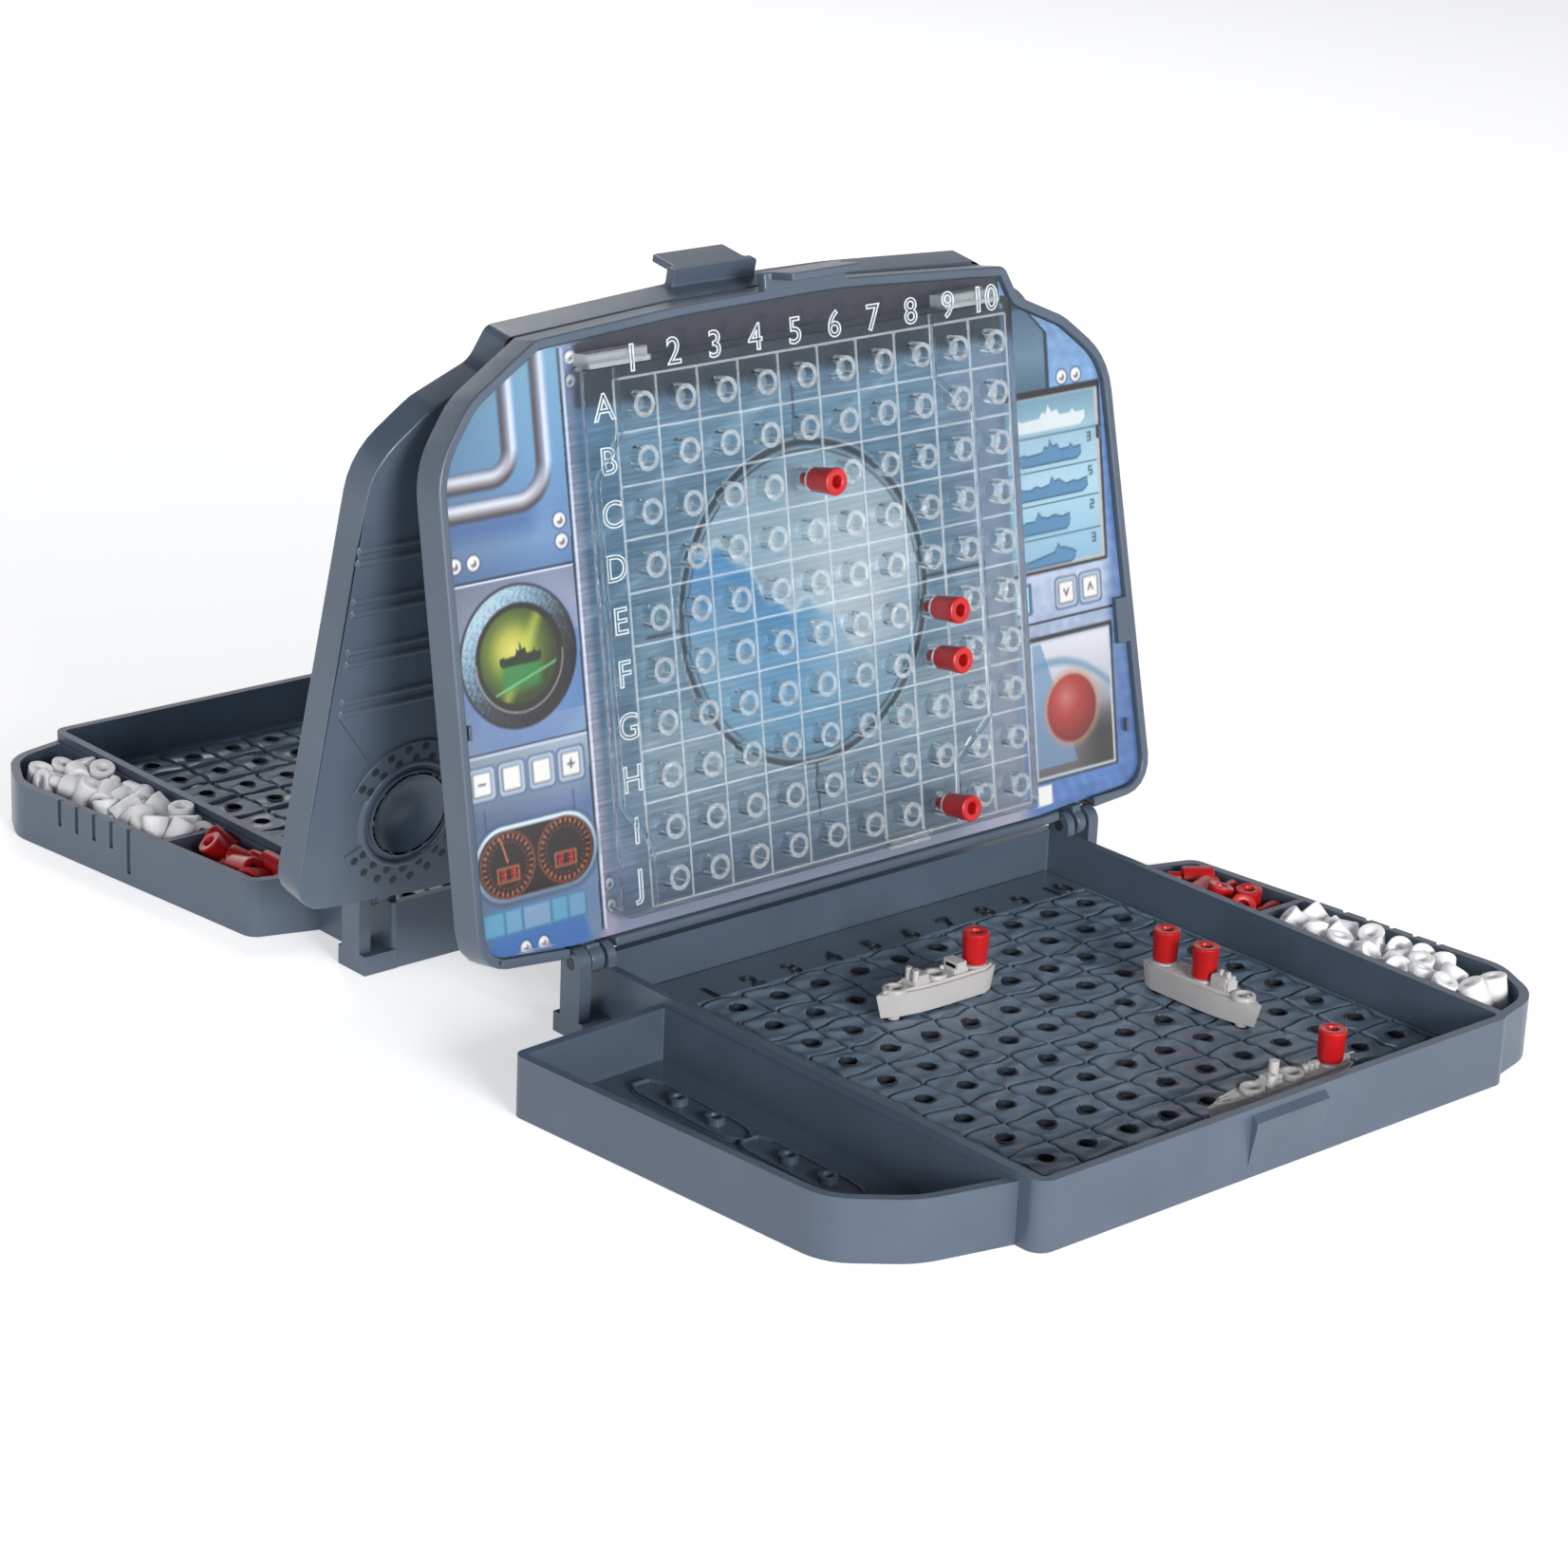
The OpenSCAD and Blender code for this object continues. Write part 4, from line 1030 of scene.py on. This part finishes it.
# --- ships ---
def ship(node, body, col, row, turn, kind):
    at = moved(*board_xy(col, row), DECK_TOP) @ spun(turn)
    hull = bevelled_copy(node, SHIP, 0.3, 2)
    me = hull.data
    me.transform((IN_MM @ at).inverted())
    for v in me.vertices:
        if kind == "cruiser":
            v.co.x -= 3 * min(max((-v.co.x - 14) / 10, 0), 1)
        x, y, z = v.co
        t = min(max((z - 0.35) / (SHIP_H - 0.35), 0), 1)
        if z > 0.3 and abs(abs(x) - 13) > 2.2 or abs(y) > 2.2:
            fore = max((-x - 9) / 14, 0)
            v.co.y = y * (0.80 + 0.20 * t)
            v.co.x = x + (2.6 * fore if x < 0 else -0.8 * (x > 14)) * (1 - t)
    me.transform(IN_MM @ at)
    attach(hull, body, "ship", node)
    b = Build()
    top = SHIP_H + 0.45
    # rail round the deck, planks and bow roller
    bow = {"escort": -19, "submarine": -19, "cruiser": -28}[kind]
    stern = 19 if kind == "cruiser" else 18
    half = SHIP_W / 2 - 1.0
    rail = [(bow + 2.4, 0), (bow + 6, -half * .6), (bow + 12, -half * .86), (bow + 18, -half),
        (stern - 4, -half), (stern - 1.2, -half * .6)]
    for s in (1, -1):
        strip(b, [(x, y * s) for x, y in rail][::s], 0.35, top - 0.1, top + 0.35, None)
    for i in (-1, 0, 1):
        b.lathe([(2.75, top - 0.1), (3.05, top), (2.95, top + 0.45), (2.6, top + 0.6), (2.1, top + 0.6),
            (2.0, top - 0.1)], 32, moved(i * 13, 0), closed=True)
    b.lathe([(0.5, top), (0.5, top + 0.5), (0.3, top + 0.7)], 12, moved(bow + 4.5, 0))

    def stub(x, y, r, h, k=16):
        b.lathe([(r, top - 0.1), (r, top + h - 0.25), (r * .75, top + h)], k, moved(x, y))

    def gun(x, turn_deg, k=2):
        m = moved(x, 0) @ spun(turn_deg)
        b.block(-1.4, -1.3, top - 0.1, 1.2, 1.3, top + 1.1, 0.3, m)
        for y in ((-.55, .55) if k == 2 else (0,)):
            b.lathe([(.26, 0), (.26, 2.8)], 10, m @ moved(-1.2, y, top + .75) @ spun(-90, "Y"))

    if kind == "escort":
        b.block(-8.8, -2.4, top - 0.1, -3.8, 2.4, top + 1.0, 0.3)
        stub(-7.6, -1.2, .8, 3.3)
        stub(-7.6, 1.2, .8, 3.3)
        b.block(4.2, -2.2, top - 0.1, 8.9, 2.2, top + 1.4, 0.35)
        b.block(5.0, -1.7, top + 1.3, 7.8, 1.7, top + 2.6, 0.35)
        stub(8.6, 0, .5, 2.4, 10)
        stub(3.4, 1.3, .55, 1.7, 10)
    elif kind == "submarine":
        b.block(-9.4, -1.6, top - 0.1, -3.6, 1.6, top + 2.8, 0.5)
        b.block(-8.6, -2.2, top + 1.2, -6.6, 2.2, top + 1.7, 0.15)
        stub(-7.8, 0, .45, 4.2, 10)
        stub(-5.6, 0, .38, 4.0, 10)
        for k in range(7):
            b.block(4.2 + k * .85, -2.6, top - 0.1, 4.55 + k * .85, 2.6, top + .3, 0.08)
            b.block(-16 + k * .42, -.9, top - 0.1, -15.8 + k * .42, .9, top + .22, 0.05)
    else:
        gun(-19.6, 0)
        b.block(-10.2, -2.0, top - 0.1, -5.0, 2.0, top + 1.3, 0.35)
        b.block(-9.4, -1.5, top + 1.2, -6.8, 1.5, top + 2.5, 0.3)
        stub(-6.4, 0, .5, 5.0, 12)
        b.lathe([(.22, -1.6), (.22, 1.6)], 8, moved(-6.4, 0, top + 3.9) @ spun(90, "X"))
        stub(-4.6, 0, 1.0, 1.9)
        for x in (4.6, 6.4, 8.2):
            stub(x, 0, .8, 1.7, 14)
        gun(17.2, 180, 1)
    attach(b.object(node + "_fittings", SHIP, IN_MM @ at), body, "ship")


# --- assembly ---
for side in ("front", "rear"):
    turned = side == "rear"
    case, lid = side + "_case", side + "_lid"
    ocean_board(side + "_sea", case, side + "_ocean_board", turned)
    board_marks(side + "_sea_marks", case, turned)
    attach(bevelled_copy(side + "_tray", SLATE, 0.35), case, "slate", side + "_tray")
    attach(bevelled_copy(side + "_lid", SLATE, 0.5, 2, False, speaker_hole(turned)), lid, "slate",
        side + "_lid")
    attach(bevelled_copy(side + "_hinge_pins", PIN_AND_HOLE_SHADE, 0.3), case, "hinge_steel", side + "_hinge_pins")
    console_card(side + "_card_print", lid, side + "_console_card", turned)
    clear = attach(bevelled_copy(side + "_target_screen", CLEAR, 0), lid, "clear", side + "_target_screen")
    # the flat tops of the rings above the sheet take the whiter clear material: painted highlight
    clear.data.materials.append(CLEAR_HIGHLIGHT)
    to_lid = on_case(ON_LID, turned).inverted()
    for face in clear.data.polygons:
        face.material_index = int((to_lid @ face.center).z > SCREEN_W + 0.35 and abs(face.normal.y) > 0.9)
    screen_details(side + "_screen_ribs", lid, turned)
    speaker(side + "_speaker", lid, turned)
    lid_details(side + "_lid_clips", lid, turned)
    tray_details(side + "_berths", case, turned)
    heap(side + "_white_heap", WHITE, "white_peg", (86.4, 105.0, -167.0, -99.9, -1.0), 44, 4 + turned,
        turned, case, side + "_white_pegs")
    heap(side + "_red_heap", RED, "red_peg", (86.4, 101.0, -96.9, -61.5, -1.2), 15, 21 + turned, turned,
         case, side + "_red_pegs")

ship("ship_escort", "escort", 4, 2, 0, "escort")
ship("ship_submarine", "submarine", 8, 5, 90, "submarine")
ship("ship_cruiser", "cruiser", 6, N - 1, 0, "cruiser")

for name, col, row in (("escort_peg", 5, 2), ("submarine_peg_aft", 8, 4), ("submarine_peg_mid", 8, 5),
        ("cruiser_peg", 7, N - 1)):
    b = Build()
    add_peg(b, moved(*board_xy(col, row), DECK_TOP + SHIP_H + 1.25), 40)
    attach(b.object(name + "_moulding", RED), name, "red_peg", name)
for name, col, row in (("upper", 5, 2), ("middle", 8, 5), ("lower", 8, 6), ("bottom", 8, N - 1)):
    b = Build()
    add_peg(b, moved(*target_xb(col, row), RING_W + 0.35), 40)
    attach(b.object("target_peg_" + name + "_moulding", RED, ON_LID), "target_peg_" + name, "red_peg",
           "target_peg_" + name)

# --- stage ---
me = bpy.data.meshes.new("floor")
me.from_pydata([(-9, -9, -0.0002), (9, -9, -0.0002), (9, 9, -0.0002), (-9, 9, -0.0002)], [],
    [(0, 1, 2, 3)])
floor = in_scene("floor", me)
FLOOR_WHITE = mottled("floor_white", 3, (0.93, 0.93, 0.93), (0.95, 0.95, 0.95),
    {"Roughness": 0.9, "Specular IOR Level": 0.1, "Emission Color": (1, 1, 1, 1),
    "Emission Strength": 0.48})
me.materials.append(FLOOR_WHITE)

# light tent: bright walls, darker roof
world = bpy.data.worlds.new("tent")
bpy.context.scene.world = world
world.use_nodes = True
t = world.node_tree
way = t.nodes.new("ShaderNodeTexCoord")
parts = t.nodes.new("ShaderNodeSeparateXYZ")
t.links.new(way.outputs["Generated"], parts.inputs["Vector"])
glow = ramp(t, parts.outputs["Z"], [(0.0, (0.96, 0.97, 1.0)), (0.38, (0.88, 0.90, 0.95)),
    (0.52, (0.24, 0.25, 0.28)), (0.70, (0.045, 0.05, 0.06)), (1.0, (0.02, 0.02, 0.025))])
t.links.new(glow.outputs["Color"], t.nodes["Background"].inputs["Color"])
t.nodes["Background"].inputs["Strength"].default_value = 1.0


def softbox(name, at, aim, size, power, colour=(1, 1, 1)):
    lamp = bpy.data.lights.new(name, "AREA")
    lamp.shape, lamp.energy, lamp.color = "RECTANGLE", power, colour
    lamp.size, lamp.size_y = size
    o = in_scene(name, lamp)
    o.location = at
    o.rotation_euler = (Vector(aim) - Vector(at)).to_track_quat("-Z", "Y").to_euler()


softbox("key", (-0.35, -1.7, 0.52), (0, -0.05, 0.05), (0.7, 0.4), 30, (1.0, 0.99, 0.97))
softbox("side", (-1.6, -0.5, 0.45), (0, -0.1, 0.05), (0.6, 0.4), 6)
softbox("back", (0.5, 0.9, 1.1), (0, 0, 0), (0.45, 0.45), 4)
softbox("rear", (0.2, 1.9, 0.6), (0, 0, 0.05), (1.2, 0.7), 4)

# camera: where it stands, and its bearing, height and tilt
CAMERA_AT = (-0.6466, -0.7339, 0.3924)
az, el, roll = math.radians(-42.363), math.radians(19.871), math.radians(2.652)
back = Vector((math.sin(az) * math.cos(el), -math.cos(az) * math.cos(el), math.sin(el)))
x = Vector((0, 0, 1)).cross(back).normalized()
y = back.cross(x)
x2 = math.cos(roll) * x + math.sin(roll) * y
y2 = -math.sin(roll) * x + math.cos(roll) * y
camera = bpy.data.cameras.new("camera")
camera.lens, camera.sensor_width = 95.5, 36
camera.shift_x = -0.012
camera.clip_start = 0.05
eye = in_scene("camera", camera)
eye.matrix_world = moved(*CAMERA_AT) @ Matrix((x2, y2, back)).transposed().to_4x4()
bpy.context.scene.camera = eye
bpy.context.scene.view_settings.view_transform = "Standard"
